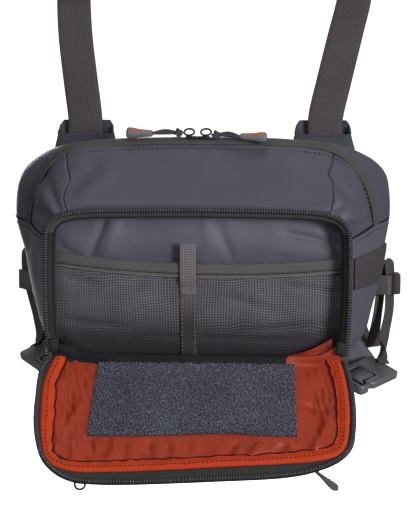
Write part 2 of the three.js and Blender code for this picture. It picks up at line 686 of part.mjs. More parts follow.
/** Two plates that clip together, drawn along x from the socket's end. */
function buckleParts() {
  const { length, width, thick, waist, seam } = BUCKLE;
  const half = width / 2;
  const socket = plate([
    [0, -half + 2], [2, -half], [9, -half], [11, -waist], [seam, -waist],
    [seam, waist], [11, waist], [9, half], [2, half], [0, half - 2],
  ], [], thick, -thick / 2);
  const start = seam + GAP;
  const prong = plate([
    [12.2, -waist - GAP], [12.2, -waist - GAP - 1], [15, -half], [length - 2, -half], [length, -half + 2],
    [length, half - 2], [length - 2, half], [15, half], [12.2, waist + GAP + 1], [12.2, waist + GAP],
    [start, waist + GAP], [start, -waist - GAP],
  ], [], thick - 2, -(thick - 2) / 2);
  return { socket, prong };
}

for (const side of SIDES) {
  const sign = side.name === 'left' ? -1 : 1;
  const level = [1, 0, 0];
  const { up, across, back, place } = adjusterFrame(side.adjuster);
  const through = (rows) => rows.map(([n, h]) => ({ p: place(n, h), w: level }));

  const shoulder = [
    ...side.front.map((p) => ({ p, w: level })),
    ...through([[3.5, -19], [3.5, -12.6], [3.2, -10.6], [0, -6.5], [-3.2, -2.4], [-3.5, 2.5]]),
  ];
  add(`shoulder_strap_${side.name}`, strap(shoulder, SHOULDER_WEB, 34), 'webbing');

  const { width, height, thick, bar, slot } = ADJUSTER;
  const ladder = plate(cutBox(0, 0, width, height, 3), [
    cutBox(0, -(bar + slot / 2), SHOULDER_WEB + 2, slot, 0.8),
    cutBox(0, bar + slot / 2, SHOULDER_WEB + 2, slot, 0.8),
  ], thick, -thick / 2);
  const stance = new THREE.Matrix4().makeBasis(across, up, back.clone().negate());
  ladder.applyMatrix4(stance.setPosition(v3(...side.adjuster.at)));
  add(`strap_adjuster_${side.name}`, ladder, 'plastic');

  const { inner, outer, tip } = side.bundle;
  const tilt = [sign * 0.33, 0.94, 0];
  const buckleFrom = v3(...side.buckle.from);
  const axis = v3(...side.buckle.to).sub(buckleFrom).normalize();
  const face = v3(...side.buckle.face);
  face.addScaledVector(axis, -face.dot(axis)).normalize();
  const breadth = face.clone().cross(axis);
  const onBuckle = (x, z) => buckleFrom.clone().addScaledVector(axis, x).addScaledVector(face, z).toArray();
  const wide = breadth.toArray();
  const flip = new THREE.Vector3(...tilt).dot(breadth) < 0 ? -1 : 1;
  const ended = wide.map((c) => c * flip);
  const rear = [
    ...through([[3.5, -2.5], [3.2, 2.4], [0, 6.5], [-3.2, 10.6], [-3.5, 12.6]]),
    ...side.rear.map((p) => ({ p, w: level.map((c) => c * sign) })),
    ...side.foot.map((p, k) => ({ p, w: [sign * FOOT_TURN[k][0], FOOT_TURN[k][1], 0] })),
    { p: [inner[0], 16.4, -42], w: tilt },
    { p: [inner[1], 15.6, -24], w: tilt },
    ...TIP_TURN.map(([x, y, z]) => ({ p: [tip[0] + sign * x, 14.6 + y, tip[1] + z], w: tilt })),
    ...outer.map((p, k) => ({ p, w: k < 2 ? tilt : easeWidth(tilt, ended, (k - 1) / 4) })),
    { p: onBuckle(BUCKLE.length + 2.2, 1.3), w: ended },
  ];
  for (const row of rear.slice(0, 5)) row.w = level.map((c) => c * sign);
  add(`rear_strap_${side.name}`, strap(rear, REAR_WEB, 110), 'webbing');

  const hold = v3((inner[1] + outer[0][0]) / 2, 14.5, -24);
  const long = v3(...tilt).normalize();
  const out = v3(long.y, -long.x, 0);
  const keeperRing = plate(
    cutBox(0, 0, 2 * (KEEPER.halfLength + KEEPER.wall), 2 * (KEEPER.halfGap + KEEPER.wall), 1.5),
    [cutBox(0, 0, 2 * KEEPER.halfLength, 2 * KEEPER.halfGap, 0.6)], KEEPER.height, -KEEPER.height / 2,
  );
  keeperRing.applyMatrix4(new THREE.Matrix4().makeBasis(long, out, v3(0, 0, -1)).setPosition(hold));
  add(`strap_keeper_${side.name}`, keeperRing, 'binding');

  const { socket, prong } = buckleParts();
  const pose = new THREE.Matrix4().makeBasis(axis, face.clone().cross(axis), face).setPosition(buckleFrom);
  add(`buckle_socket_${side.name}`, socket.applyMatrix4(pose), 'plastic');
  add(`buckle_prong_${side.name}`, prong.applyMatrix4(pose), 'plastic');

  const cornerWide = wide.map((c) => c * (sign * breadth.y > 0 ? 1 : -1));
  const corner = [
    { p: side.corner, w: easeWidth([0, sign, 0], cornerWide, 0.6) },
    { p: onBuckle(-3.6, 1), w: cornerWide },
  ];
  add(`corner_webbing_${side.name}`, strap(corner, REAR_WEB, 8), 'webbing');
}

// Folded end of the right strap, held at the keeper
const endFold = [
  { p: [136.3, 5.5, -23.5], w: [0, 0, 1] },
  { p: [139.7, 4.6, -23.5], w: [0, 0, 1] },
  { p: [141.5, 7.4, -23.5], w: [0, 0, 1] },
  { p: [140.1, 11, -23.5], w: [0, 0, 1] },
];
add('strap_end_right', strap(endFold, 15, 8), 'webbing');

export default part;
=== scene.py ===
"""Chest pack with its front pocket folded down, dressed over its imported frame."""
import logging
import math
import random
from dataclasses import dataclass, field
from enum import Enum
from typing import Callable, Optional, Sequence, Union

import bmesh
import bpy
from mathutils import Matrix, Vector, noise


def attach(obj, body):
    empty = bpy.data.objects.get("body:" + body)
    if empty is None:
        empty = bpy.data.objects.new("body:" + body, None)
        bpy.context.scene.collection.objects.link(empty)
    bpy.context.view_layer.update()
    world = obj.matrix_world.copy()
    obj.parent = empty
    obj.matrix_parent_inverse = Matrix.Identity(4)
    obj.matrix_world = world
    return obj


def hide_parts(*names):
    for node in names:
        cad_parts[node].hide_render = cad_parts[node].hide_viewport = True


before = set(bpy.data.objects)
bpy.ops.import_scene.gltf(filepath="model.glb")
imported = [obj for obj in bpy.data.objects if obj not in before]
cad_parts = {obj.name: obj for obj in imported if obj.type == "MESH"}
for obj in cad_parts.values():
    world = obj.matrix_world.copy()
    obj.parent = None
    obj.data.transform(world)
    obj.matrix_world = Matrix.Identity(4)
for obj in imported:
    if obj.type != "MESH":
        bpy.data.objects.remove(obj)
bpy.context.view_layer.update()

LOG = logging.getLogger("chest_pack")
MM = 0.001
ROOT = "root"
ACROSS = Vector((1, 0, 0))
FRONT = Vector((0, -1, 0))
UP = Vector((0, 0, 1))
CLOUD_SIZE = 38.0
COAT_GRAIN = 0.7
YARN_GRAIN = 0.45
SPLINE_STEPS = 600
BATCH = 40
FLAT_ANGLE = math.radians(4)
EDGE_ANGLE = math.radians(25)
SHARP_ANGLE = math.radians(50)
Colour = tuple[float, float, float, float]
Outline = list[tuple[float, float]]
Edge = Callable[[float], float]
Shape = Callable[[bmesh.types.BMesh, Matrix], None]
Surface = Callable[[float, float], Vector]
Relief = Callable[[float, float, Vector], float]


def srgb(red: int, green: int, blue: int) -> Colour:
    """A linear colour from display values of 0 to 255."""
    share = [c / 255 for c in (red, green, blue)]
    return (*[c / 12.92 if c <= 0.04045 else ((c + 0.055) / 1.055) ** 2.4 for c in share], 1.0)


def blend(low: float, high: float, share: float) -> float:
    """The value a share of the way from low to high."""
    return low + (high - low) * share


def ease(low: float, high: float, value: float) -> float:
    """A smooth step from 0 at low to 1 at high."""
    share = min(1.0, max(0.0, (value - low) / (high - low)))
    return share * share * (3 - 2 * share)


def ripple(point: Vector, size: float, seed: float = 0.0) -> float:
    """Soft irregularity from -1 to 1, with features of a size in millimetres."""
    return noise.noise(point / size + Vector((seed, 2.7 * seed, -seed)))


# Finishes


class Signal:
    """A shader value that adds its own nodes when it is reckoned with."""

    def __init__(self, graph: "Graph", socket: bpy.types.NodeSocket) -> None:
        """Keeps the graph and the socket."""
        self.graph = graph
        self.socket = socket

    def _join(self, operation: str, first: "Term", second: "Term") -> "Signal":
        """One Math node on two terms."""
        return self.graph.signal("ShaderNodeMath", {"operation": operation}, {0: first, 1: second})

    def __add__(self, other: "Term") -> "Signal":
        """The sum."""
        return self._join("ADD", self, other)

    def __radd__(self, other: "Term") -> "Signal":
        """The sum, the other way round."""
        return self._join("ADD", other, self)

    def __sub__(self, other: "Term") -> "Signal":
        """The difference."""
        return self._join("SUBTRACT", self, other)

    def __rsub__(self, other: "Term") -> "Signal":
        """The difference, the other way round."""
        return self._join("SUBTRACT", other, self)

    def __mul__(self, other: "Term") -> "Signal":
        """The product."""
        return self._join("MULTIPLY", self, other)

    def __rmul__(self, other: "Term") -> "Signal":
        """The product, the other way round."""
        return self._join("MULTIPLY", other, self)

    def wave(self, pitch: float) -> "Signal":
        """A wave from 0 to 1 that repeats with a pitch."""
        return self._join("SINE", self * (2 * math.pi / pitch), 0.0) * 0.5 + 0.5

    def above(self, edge: float, soft: float) -> "Signal":
        """0 below an edge and 1 above it, over a soft width."""
        settings = {"interpolation_type": "SMOOTHSTEP"}
        return self.graph.signal("ShaderNodeMapRange", settings, {0: self, 1: edge - soft, 2: edge + soft})


Term = Union[Signal, float]


class Graph:
    """The node tree of one material."""

    def __init__(self, name: str) -> None:
        """Starts an empty tree.

        Args:
            name: the material's name.
        """
        self.material = bpy.data.materials.new(name)
        self.material.use_nodes = True
        self.tree = self.material.node_tree
        self.tree.nodes.clear()

    def make(self, kind: str, settings: dict, sockets: dict) -> bpy.types.Node:
        """Any node.

        Args:
            kind: the node's type.
            settings: attributes, set first.
            sockets: input name or index to a value, a socket or a signal.

        Returns:
            The node.
        """
        node = self.tree.nodes.new(kind)
        for key, value in settings.items():
            setattr(node, key, value)
        for key, value in sockets.items():
            link = value.socket if isinstance(value, Signal) else value
            if isinstance(link, bpy.types.NodeSocket):
                self.tree.links.new(link, node.inputs[key])
            else:
                node.inputs[key].default_value = link
        return node

    def signal(self, kind: str, settings: dict, sockets: dict, output: Union[int, str] = 0) -> Signal:
        """One output of a new node as a signal."""
        return Signal(self, self.make(kind, settings, sockets).outputs[output])

    def place(self) -> bpy.types.NodeSocket:
        """Object coordinates in millimetres."""
        coordinates = self.make("ShaderNodeTexCoord", {}, {})
        sockets = {0: coordinates.outputs["Object"], "Scale": 1 / MM}
        return self.make("ShaderNodeVectorMath", {"operation": "SCALE"}, sockets).outputs[0]

    def cut(self) -> tuple[Signal, Signal]:
        """The cloth's own millimetres, across and along."""
        coordinates = self.make("ShaderNodeTexCoord", {}, {})
        split = self.make("ShaderNodeSeparateXYZ", {}, {0: coordinates.outputs["UV"]})
        return Signal(self, split.outputs[0]), Signal(self, split.outputs[1])

    def grain(self, vector: bpy.types.NodeSocket, size: float, detail: float = 2.0) -> Signal:
        """Noise from 0 to 1 with features of a size in millimetres."""
        sockets = {"Vector": vector, "Scale": 1 / size, "Detail": detail, "Roughness": 0.55}
        return self.signal("ShaderNodeTexNoise", {}, sockets)

    def tint(self, share: Term, first: Union[Colour, Signal], second: Union[Colour, Signal]) -> Signal:
        """A colour between two, by a share."""
        return self.signal("ShaderNodeMix", {"data_type": "RGBA"}, {0: share, 6: first, 7: second}, 2)

    def relief(self, height: Signal, depth: float) -> Signal:
        """A bumped normal from a height of 0 to 1 and a depth in millimetres."""
        return self.signal("ShaderNodeBump", {}, {"Height": height, "Distance": depth * MM, "Strength": 1.0})

    def close(self, sockets: dict) -> bpy.types.Material:
        """Ends the tree in one surface shader."""
        shader = self.make("ShaderNodeBsdfPrincipled", {}, sockets)
        self.make("ShaderNodeOutputMaterial", {}, {"Surface": shader.outputs[0]})
        return self.material


class Weave(Enum):
    """How a cloth is made."""

    COATED = "coated"
    WEBBING = "webbing"
    TAPE = "tape"
    NET = "net"
    GROSGRAIN = "grosgrain"
    RIPSTOP = "ripstop"
    PILE = "pile"
    SPACER = "spacer"


@dataclass(frozen=True)
class Cloth:
    """A woven finish: two colours, a weave, its pitch and depth in millimetres, and how it shines.

    A fade gives the height about which the cloth is painted darker downwards as shade, and half the width of that
    change.
    """

    name: str
    dark: Colour
    light: Colour
    weave: Weave
    pitch: float = 1.0
    depth: float = 0.12
    rough: float = 0.72
    sheen: float = 0.04
    specular: float = 0.18
    fade: Optional[tuple[float, float]] = None

    def _pattern(self, graph: Graph, fine: Signal) -> Signal:
        """The weave's height from 0 to 1.

        Args:
            graph: the material's tree.
            fine: fine noise.

        Returns:
            The height.
        """
        across, along = graph.cut()
        if self.weave is Weave.WEBBING:
            ribs = across.wave(self.pitch)
            picks = along.wave(self.pitch * 0.8)
            return ribs * 0.35 + picks * 0.4 + fine * 0.25
        if self.weave is Weave.TAPE:
            return (across + along).wave(self.pitch) * 0.45 + fine * 0.55
        if self.weave is Weave.NET:
            # The holes are not cut: they take the dark colour as painted shade of the wall behind.
            holes = across.wave(self.pitch) * along.wave(self.pitch * 0.94)
            return (1 - holes.above(0.34, 0.12)) * 0.85 + fine * 0.15
        if self.weave is Weave.GROSGRAIN:
            return along.wave(self.pitch) * 0.4 + fine * 0.6
        if self.weave is Weave.RIPSTOP:
            cross = across.wave(self.pitch).above(0.9, 0.08) + along.wave(self.pitch).above(0.9, 0.08)
            return cross * 0.21 + fine * 0.5
        if self.weave is Weave.PILE:
            cells = {"Vector": graph.place(), "Scale": 1 / self.pitch, "Randomness": 1.0}
            return graph.signal("ShaderNodeTexVoronoi", {}, cells) * 0.8 + fine * 0.3
        if self.weave is Weave.SPACER:
            return across.wave(self.pitch) * along.wave(self.pitch) * 0.7 + fine * 0.3
        return fine

    def make(self) -> bpy.types.Material:
        """Builds the cloth's shader.

        Returns:
            The material.
        """
        graph = Graph(self.name)
        place = graph.place()
        coated = self.weave is Weave.COATED
        broad = graph.grain(place, CLOUD_SIZE, 3.0)
        fine = graph.grain(place, COAT_GRAIN if coated else YARN_GRAIN)
        height = self._pattern(graph, fine)
        share = broad * 0.6 + fine * 0.5 - 0.05 if coated else height * 0.75 + broad * 0.5 - 0.12
        # Painted shade: below the fade's height the colour is darkened.
        if self.fade:
            up = Signal(graph, graph.make("ShaderNodeSeparateXYZ", {}, {0: place}).outputs[2])
            share = share * (up.above(*self.fade) * 0.7 + 0.3)
        return graph.close({
            "Base Color": graph.tint(share, self.dark, self.light),
            "Roughness": fine * 0.16 + (self.rough - 0.08),
            "Normal": graph.relief(height, self.depth),
            "Specular IOR Level": self.specular,
            "Sheen Weight": self.sheen,
            "Sheen Roughness": 0.5,
        })


@dataclass(frozen=True)
class Moulded:
    """A hard finish: plastic, rubber or metal with a fine grain."""

    name: str
    colour: Colour
    rough: float = 0.45
    metallic: float = 0.0
    grain: float = 0.8
    depth: float = 0.05
    specular: float = 0.5

    def make(self) -> bpy.types.Material:
        """Builds the hard finish's shader.

        Returns:
            The material.
        """
        graph = Graph(self.name)
        place = graph.place()
        fine = graph.grain(place, self.grain, 3.0)
        broad = graph.grain(place, 9.0)
        worn = tuple(min(1.0, c * 1.35 + 0.012) for c in self.colour[:3]) + (1.0,)
        return graph.close({
            "Base Color": graph.tint(broad * 0.6 + fine * 0.3, self.colour, worn),
            "Roughness": fine * 0.2 + (self.rough - 0.1),
            "Metallic": self.metallic,
            "Normal": graph.relief(fine, self.depth),
            "Specular IOR Level": self.specular,
        })


Finish = Union[Cloth, Moulded]

SHELL = Cloth("slate_shell", srgb(56, 57, 67), srgb(76, 77, 89), Weave.COATED, depth=0.05, rough=0.56, specular=0.3)
# The shell cloth painted lighter for the side wall, as painted light on the flanks.
LIT_FLANK_SHELL = Cloth("flank_shell_painted_light", srgb(65, 66, 77), srgb(87, 88, 101), Weave.COATED, depth=0.05, rough=0.58, specular=0.28)
# Pocket back cloth; its fade paints shade darker towards the wall's foot.
LINING_GREY = Cloth(
    "pocket_cloth_painted_shade", srgb(56, 57, 66), srgb(106, 107, 120), Weave.COATED, depth=0.05, rough=0.62, specular=0.24,
    fade=(10.0, 15.0),
)
SLEEVE_CLOTH = Cloth("sleeve_cloth", srgb(46, 48, 54), srgb(68, 70, 79), Weave.COATED, depth=0.06, rough=0.66)
BACK_CLOTH = Cloth("back_net", srgb(40, 42, 47), srgb(98, 100, 108), Weave.SPACER, pitch=2.6, depth=0.5, rough=0.85)
WEBBING = Cloth("strap_webbing", srgb(42, 37, 40), srgb(84, 77, 81), Weave.WEBBING, pitch=1.7, depth=0.2, rough=0.8)
KEEPER = Cloth("keeper_webbing", srgb(62, 58, 62), srgb(104, 98, 103), Weave.WEBBING, pitch=1.2, depth=0.1, rough=0.8)
BAND_WEBBING = Cloth(
    "flank_webbing", srgb(48, 43, 45), srgb(74, 68, 71), Weave.WEBBING, pitch=1.2, depth=0.1, rough=0.7,
)
TAPE = Cloth("olive_tape", srgb(44, 45, 42), srgb(84, 85, 80), Weave.TAPE, pitch=1.3, depth=0.14, rough=0.82)
SIDE_TAPE = Cloth("shaded_tape", srgb(20, 21, 20), srgb(50, 51, 48), Weave.TAPE, pitch=1.3, depth=0.14, rough=0.85)
TOP_TAPE = Cloth("top_tape", srgb(46, 47, 45), srgb(84, 85, 82), Weave.TAPE, pitch=1.3, depth=0.14, rough=0.82)
# Black: the coil cores' own colour, and painted shade on the strip inside the pocket's zip.
CORE_AND_SHADE_BLACK = Cloth("core_black_and_painted_shade", srgb(14, 14, 16), srgb(34, 34, 38), Weave.COATED, depth=0.08, rough=0.8)
# Near-black painted shade for the pocket's floor and its grey fold.
SHADED_FLOOR = Cloth("floor_painted_shade", srgb(8, 8, 10), srgb(30, 30, 34), Weave.COATED, depth=0.08, rough=0.75)
FLAP_TAPE = Cloth("dark_tape", srgb(26, 29, 28), srgb(54, 58, 56), Weave.TAPE, pitch=1.5, depth=0.2, rough=0.82)
# Net: its holes are painted near-black as shade, and its fade paints shade darker towards its foot.
NET = Cloth(
    "pocket_net_painted_shade", srgb(3, 3, 5), srgb(102, 98, 106), Weave.NET, pitch=1.9, depth=0.3, rough=0.7, fade=(-42.0, 14.0),
)
BINDING = Cloth("grey_grosgrain", srgb(62, 62, 60), srgb(98, 97, 95), Weave.GROSGRAIN, pitch=0.9, depth=0.12, rough=0.8)
PIPING = Cloth("pale_piping", srgb(84, 83, 82), srgb(122, 120, 119), Weave.GROSGRAIN, pitch=0.9, rough=0.75)
STRIP_TOP = Cloth("pale_strip", srgb(54, 48, 51), srgb(132, 124, 128), Weave.WEBBING, pitch=2.0, depth=0.25, rough=0.8)
# Sewn length of the strip; its fade paints shade darker towards its foot.
STRIP_LOW = Cloth(
    "dark_strip_shaded", srgb(16, 15, 16), srgb(120, 112, 113), Weave.WEBBING, pitch=1.8, depth=0.2, rough=0.8,
    fade=(-32.0, 12.0),
)
RIPSTOP = Cloth(
    "orange_ripstop", srgb(108, 28, 8), srgb(176, 59, 28), Weave.RIPSTOP, pitch=2.3, depth=0.03, rough=0.46,
    sheen=0.0, specular=0.3,
)
ORANGE = Cloth(
    "orange_binding", srgb(150, 42, 17), srgb(196, 67, 35), Weave.GROSGRAIN, pitch=0.9, depth=0.08, rough=0.75,
    sheen=0.0, specular=0.12,
)
PILE = Cloth("loop_pile", srgb(9, 10, 15), srgb(62, 64, 78), Weave.PILE, pitch=1.5, depth=0.6, rough=0.9, sheen=0.1)
FUZZ = Cloth(
    "loop_fibre", srgb(22, 23, 31), srgb(152, 154, 173), Weave.PILE, pitch=1.9, depth=0.05, rough=0.85, sheen=0.1,
)
BRAID = Cloth("braided_cord", srgb(38, 39, 43), srgb(76, 78, 83), Weave.WEBBING, pitch=0.8, depth=0.12, rough=0.7)
# Dark thread for the stitches, and painted shade for the cords along the flank seams.
THREAD = Moulded("dark_thread_and_seam_shade", srgb(18, 18, 22), rough=0.8, grain=0.3, specular=0.1)
PALE_THREAD = Moulded("pale_thread", srgb(122, 114, 115), rough=0.8, grain=0.3, specular=0.1)
GREY_THREAD = Moulded("grey_thread", srgb(66, 36, 32), rough=0.8, grain=0.3, specular=0.1)
# Dark cord colour: the flap binding's seam and the shadow line along its inner edge, painted.
SEAM_SHADOW_LINE = Moulded("seam_shadow_line", srgb(40, 12, 8), rough=0.9, grain=0.3, specular=0.03)
# The coil is black plastic; its loops are painted mid grey as painted highlight, to carry their glints.
COIL = Moulded("zip_coil", srgb(74, 75, 77), rough=0.25, grain=0.6, depth=0.02, specular=0.9)
RUBBER = Moulded("grey_rubber", srgb(84, 86, 91), rough=0.55, grain=0.5)
INLAY = Moulded("orange_inlay", srgb(172, 72, 40), rough=0.6, grain=0.5, specular=0.2)
# Dark plastic painted lighter grey, partly as painted highlight for the buckle's lit faces.
PLASTIC = Moulded("dark_plastic", srgb(82, 82, 88), rough=0.28, grain=0.6, depth=0.03, specular=0.9)
# Black rubber for the zip-end blocks, and painted shade in the buckle socket's grooves.
BLACK = Moulded("black_rubber_and_painted_shade", srgb(22, 22, 24), rough=0.75, grain=0.5, specular=0.25)
DARK_RUBBER = Moulded("dark_rubber", srgb(58, 59, 62), rough=0.5, grain=0.5)
METAL = Moulded("wire_metal", srgb(44, 44, 47), rough=0.34, metallic=0.7, grain=1.5, depth=0.01)


class Wardrobe:
    """Makes each finish once."""

    def __init__(self) -> None:
        """Starts with nothing made."""
        self._made: dict[str, bpy.types.Material] = {}

    def __call__(self, finish: Finish) -> bpy.types.Material:
        """The material of a finish."""
        if finish.name not in self._made:
            self._made[finish.name] = finish.make()
        return self._made[finish.name]


WARDROBE = Wardrobe()

# Curves and meshes


class Spline:
    """A smooth curve through points, in millimetres."""

    def __init__(self, points: Sequence[Vector]) -> None:
        """Works out each stretch's cubic, eased by the root of the distances between points.

        Args:
            points: what the curve runs through.
        """
        ends = [2 * points[0] - points[1], *points, 2 * points[-1] - points[-2]]
        self.parts: list[tuple[Vector, Vector, Vector, Vector]] = []
        for a, b, c, d in zip(ends, ends[1:], ends[2:], ends[3:]):
            before, here, after = [max(1e-4, math.sqrt((q - p).length)) for p, q in ((a, b), (b, c), (c, d))]
            leave = ((b - a) / before - (c - a) / (before + here) + (c - b) / here) * here
            reach = ((c - b) / here - (d - b) / (here + after) + (d - c) / after) * here
            self.parts.append((b.copy(), leave, 3 * (c - b) - 2 * leave - reach, 2 * (b - c) + leave + reach))

    def point(self, t: float) -> Vector:
        """One point of the curve.

        Args:
            t: from 0 to 1, by stretches.

        Returns:
            The point.
        """
        whole = min(1.0, max(0.0, t)) * len(self.parts)
        index = min(int(whole), len(self.parts) - 1)
        w = whole - index
        a, b, c, d = self.parts[index]
        return a + w * (b + w * (c + w * d))

    def tangent(self, t: float) -> Vector:
        """The unit direction at t."""
        return (self.point(min(1.0, t + 1e-4)) - self.point(max(0.0, t - 1e-4))).normalized()

    def even(self, pitch: float) -> list[float]:
        """Divides the curve evenly.

        Args:
            pitch: from one place to the next along the curve.

        Returns:
            Values of t.
        """
        steps = [k / SPLINE_STEPS for k in range(SPLINE_STEPS + 1)]
        places = [self.point(t) for t in steps]
        found, travelled, goal = [0.0], 0.0, pitch
        for before, t, a, b in zip(steps, steps[1:], places, places[1:]):
            reach = (b - a).length
            while travelled + reach >= goal:
                found.append(blend(before, t, (goal - travelled) / reach))
                goal += pitch
            travelled += reach
        return found


@dataclass
class Station:
    """One place along a sweep: its point, its width's direction and its upward direction."""

    at: Vector
    across: Vector
    up: Vector


@dataclass
class Crease:
    """A soft fold between two points of a front view, in millimetres."""

    start: tuple[float, float]
    end: tuple[float, float]
    depth: float
    width: float

    def at(self, x: float, z: float) -> float:
        """The fold's height at a point of the front view.

        Args:
            x: to the right.
            z: up.

        Returns:
            The height; a positive depth makes a valley.
        """
        line = Vector(self.end) - Vector(self.start)
        offset = Vector((x, z)) - Vector(self.start)
        share = offset.dot(line) / line.length_squared
        if not -0.2 < share < 1.2:
            return 0.0
        away = (offset - line * share).length / self.width
        fade = ease(-0.2, 0.25, share) * (1 - ease(0.7, 1.2, share))
        return -self.depth * fade * math.exp(-away * away)


def folds(creases: Sequence[Crease], x: float, z: float) -> float:
    """The sum of creases at a point of the front view."""
    return sum(crease.at(x, z) for crease in creases)


@dataclass
class Patch:
    """One cut piece of cloth over a surface of u, v from 0 to 1.

    Its size is the cut across and along, and inside is a point behind it. The relief moves it along its normals, the
    tuck turns its four edges in over two rolls, and a closed patch joins its first column to its last.
    """

    surface: Surface
    columns: int
    rows: int
    size: tuple[float, float]
    inside: Vector
    relief: Optional[Relief] = None
    tuck: tuple[float, float, float, float] = (0.0, 0.0, 0.0, 0.0)
    roll: tuple[float, float] = (1.2, 1.7)
    closed: bool = False

    def _tucked(self, u: float, v: float) -> float:
        """How far the cloth turns in near its sewn edges."""
        away = (u * self.size[0], (1 - u) * self.size[0], v * self.size[1], (1 - v) * self.size[1])
        rolls = (self.roll[0], self.roll[0], self.roll[1], self.roll[1])
        return -sum(t * math.exp(-((d / r) ** 2)) for t, d, r in zip(self.tuck, away, rolls) if t)

    def lay(self, sheet: bmesh.types.BMesh) -> None:
        """Adds the patch to a mesh.

        Args:
            sheet: the mesh.
        """
        made = bmesh.ops.create_grid(sheet, x_segments=self.columns, y_segments=self.rows, size=0.5)
        weave = sheet.loops.layers.uv.verify()
        crowd = [any(self.tuck[:2]), any(self.tuck[2:])]
        shares = {}
        for vert in made["verts"]:
            pair = [vert.co.x + 0.5, vert.co.y + 0.5]
            shares[vert] = [blend(s, ease(0, 1, s), 0.6) if c else s for s, c in zip(pair, crowd)]
        faces = {face for vert in made["verts"] for face in vert.link_faces}
        for face in faces:
            face.smooth = True
            for loop in face.loops:
                u, v = shares[loop.vert]
                loop[weave].uv = (u * self.size[0], v * self.size[1])
        for vert in made["verts"]:
            vert.co = self.surface(*shares[vert])
        if self.closed:
            bmesh.ops.remove_doubles(sheet, verts=made["verts"], dist=0.004)
        verts = [v for v in made["verts"] if v.is_valid]
        sheet.normal_update()
        leaning = sum((v.co - self.inside).dot(v.normal) for v in verts)
        if leaning < 0:
            bmesh.ops.reverse_faces(sheet, faces=[f for f in faces if f.is_valid])
            sheet.normal_update()
        moved = {}
        for vert in verts:
            u, v = shares[vert]
            height = self._tucked(u, v) + (self.relief(u, v, vert.co) if self.relief else 0.0)
            moved[vert] = vert.co + vert.normal * height
        for vert, place in moved.items():
            vert.co = place


def piece(name: str, sheet: bmesh.types.BMesh, *finishes: Finish) -> bpy.types.Object:
    """A mesh in millimetres as an object in metres.

    Args:
        name: the piece's name.
        sheet: the mesh, which is freed.
        finishes: one finish for each material slot.

    Returns:
        The object.
    """
    bmesh.ops.scale(sheet, vec=(MM, MM, MM), verts=sheet.verts)
    mesh = bpy.data.meshes.new(name)
    sheet.to_mesh(mesh)
    sheet.free()
    thing = bpy.data.objects.new(name, mesh)
    bpy.context.scene.collection.objects.link(thing)
    for finish in finishes:
        mesh.materials.append(WARDROBE(finish))
    return thing


def cloth(name: str, patches: Sequence[Patch], thick: float, *finishes: Cloth) -> bpy.types.Object:
    """Patches of cloth sewn into one piece with a thickness, which lies inside their faces.

    Args:
        name: the piece's name.
        patches: its cut pieces.
        thick: its thickness in millimetres.
        finishes: one cloth for each material slot.

    Returns:
        The piece.
    """
    sheet = bmesh.new()
    for patch in patches:
        patch.lay(sheet)
    made = piece(name, sheet, *finishes)
    wall = made.modifiers.new("wall", "SOLIDIFY")
    wall.thickness = thick * MM
    wall.offset = -1.0
    return made


def sweep(sheet: bmesh.types.BMesh, stations: Sequence[Station], profile: Outline) -> None:
    """Adds a closed solid to a mesh.

    Args:
        sheet: the mesh.
        stations: what the solid runs through.
        profile: its flat closed section.
    """
    last, count = len(stations) - 1, len(profile)
    made = bmesh.ops.create_grid(sheet, x_segments=last, y_segments=count, size=0.5)
    weave = sheet.loops.layers.uv.verify()
    places = {v: (round((v.co.x + 0.5) * last), round((v.co.y + 0.5) * count)) for v in made["verts"]}
    travelled = [0.0]
    for a, b in zip(stations, stations[1:]):
        travelled.append(travelled[-1] + (b.at - a.at).length)
    for face in {face for vert in made["verts"] for face in vert.link_faces}:
        face.smooth = True
        for loop in face.loops:
            column, row = places[loop.vert]
            loop[weave].uv = (profile[row % count][0], travelled[column])
    for vert, (column, row) in places.items():
        station = stations[column]
        a, b = profile[row % count]
        vert.co = station.at + station.across * a + station.up * b
    bmesh.ops.remove_doubles(sheet, verts=made["verts"], dist=1e-4)
    bmesh.ops.holes_fill(sheet, edges=[e for e in sheet.edges if e.is_boundary], sides=0)
    bmesh.ops.recalc_face_normals(sheet, faces=sheet.faces)


def strip_profile(width: float, thick: float) -> Outline:
    """The outline of flat webbing with a slight crown and soft edges."""
    a, b = width / 2, thick / 2
    top = [(x * a, b * (1.05 - 0.15 * x * x)) for x in (-0.94, -0.7, -0.35, 0.0, 0.35, 0.7, 0.94)]
    return [(-a, 0.0), *top, (a, 0.0), *[(x, -y) for x, y in reversed(top)]]


def round_profile(diameter: float, sides: int = 8) -> Outline:
    """The outline of a round cord."""
    turn = 2 * math.pi / sides
    return [(math.cos(k * turn) * diameter / 2, math.sin(k * turn) * diameter / 2) for k in range(sides)]


def along(points: Sequence[Vector], up: Vector, steps: int) -> list[Station]:
    """Stations of a cord.

    Args:
        points: what it runs through.
        up: its upward direction.
        steps: how many lengths it has.

    Returns:
        The stations.
    """
    line = Spline(points)
    stations = []
    for k in range(steps + 1):
        tangent = line.tangent(k / steps)
        across = tangent.cross(up).normalized()
        stations.append(Station(line.point(k / steps), across, across.cross(tangent).normalized()))
    return stations


def ribbon(rows: Sequence[tuple[Vector, Vector]], steps: int) -> list[Station]:
    """Stations of a strap.

    Args:
        rows: its centre and its width's direction at each place.
        steps: how many lengths it has.

    Returns:
        The stations.
    """
    centre = Spline([p for p, _ in rows])
    width = Spline([w for _, w in rows])
    stations = []
    for k in range(steps + 1):
        t = k / steps
        tangent = centre.tangent(t)
        across = width.point(t)
        across = (across - tangent * across.dot(tangent)).normalized()
        stations.append(Station(centre.point(t), across, tangent.cross(across).normalized()))
    return stations


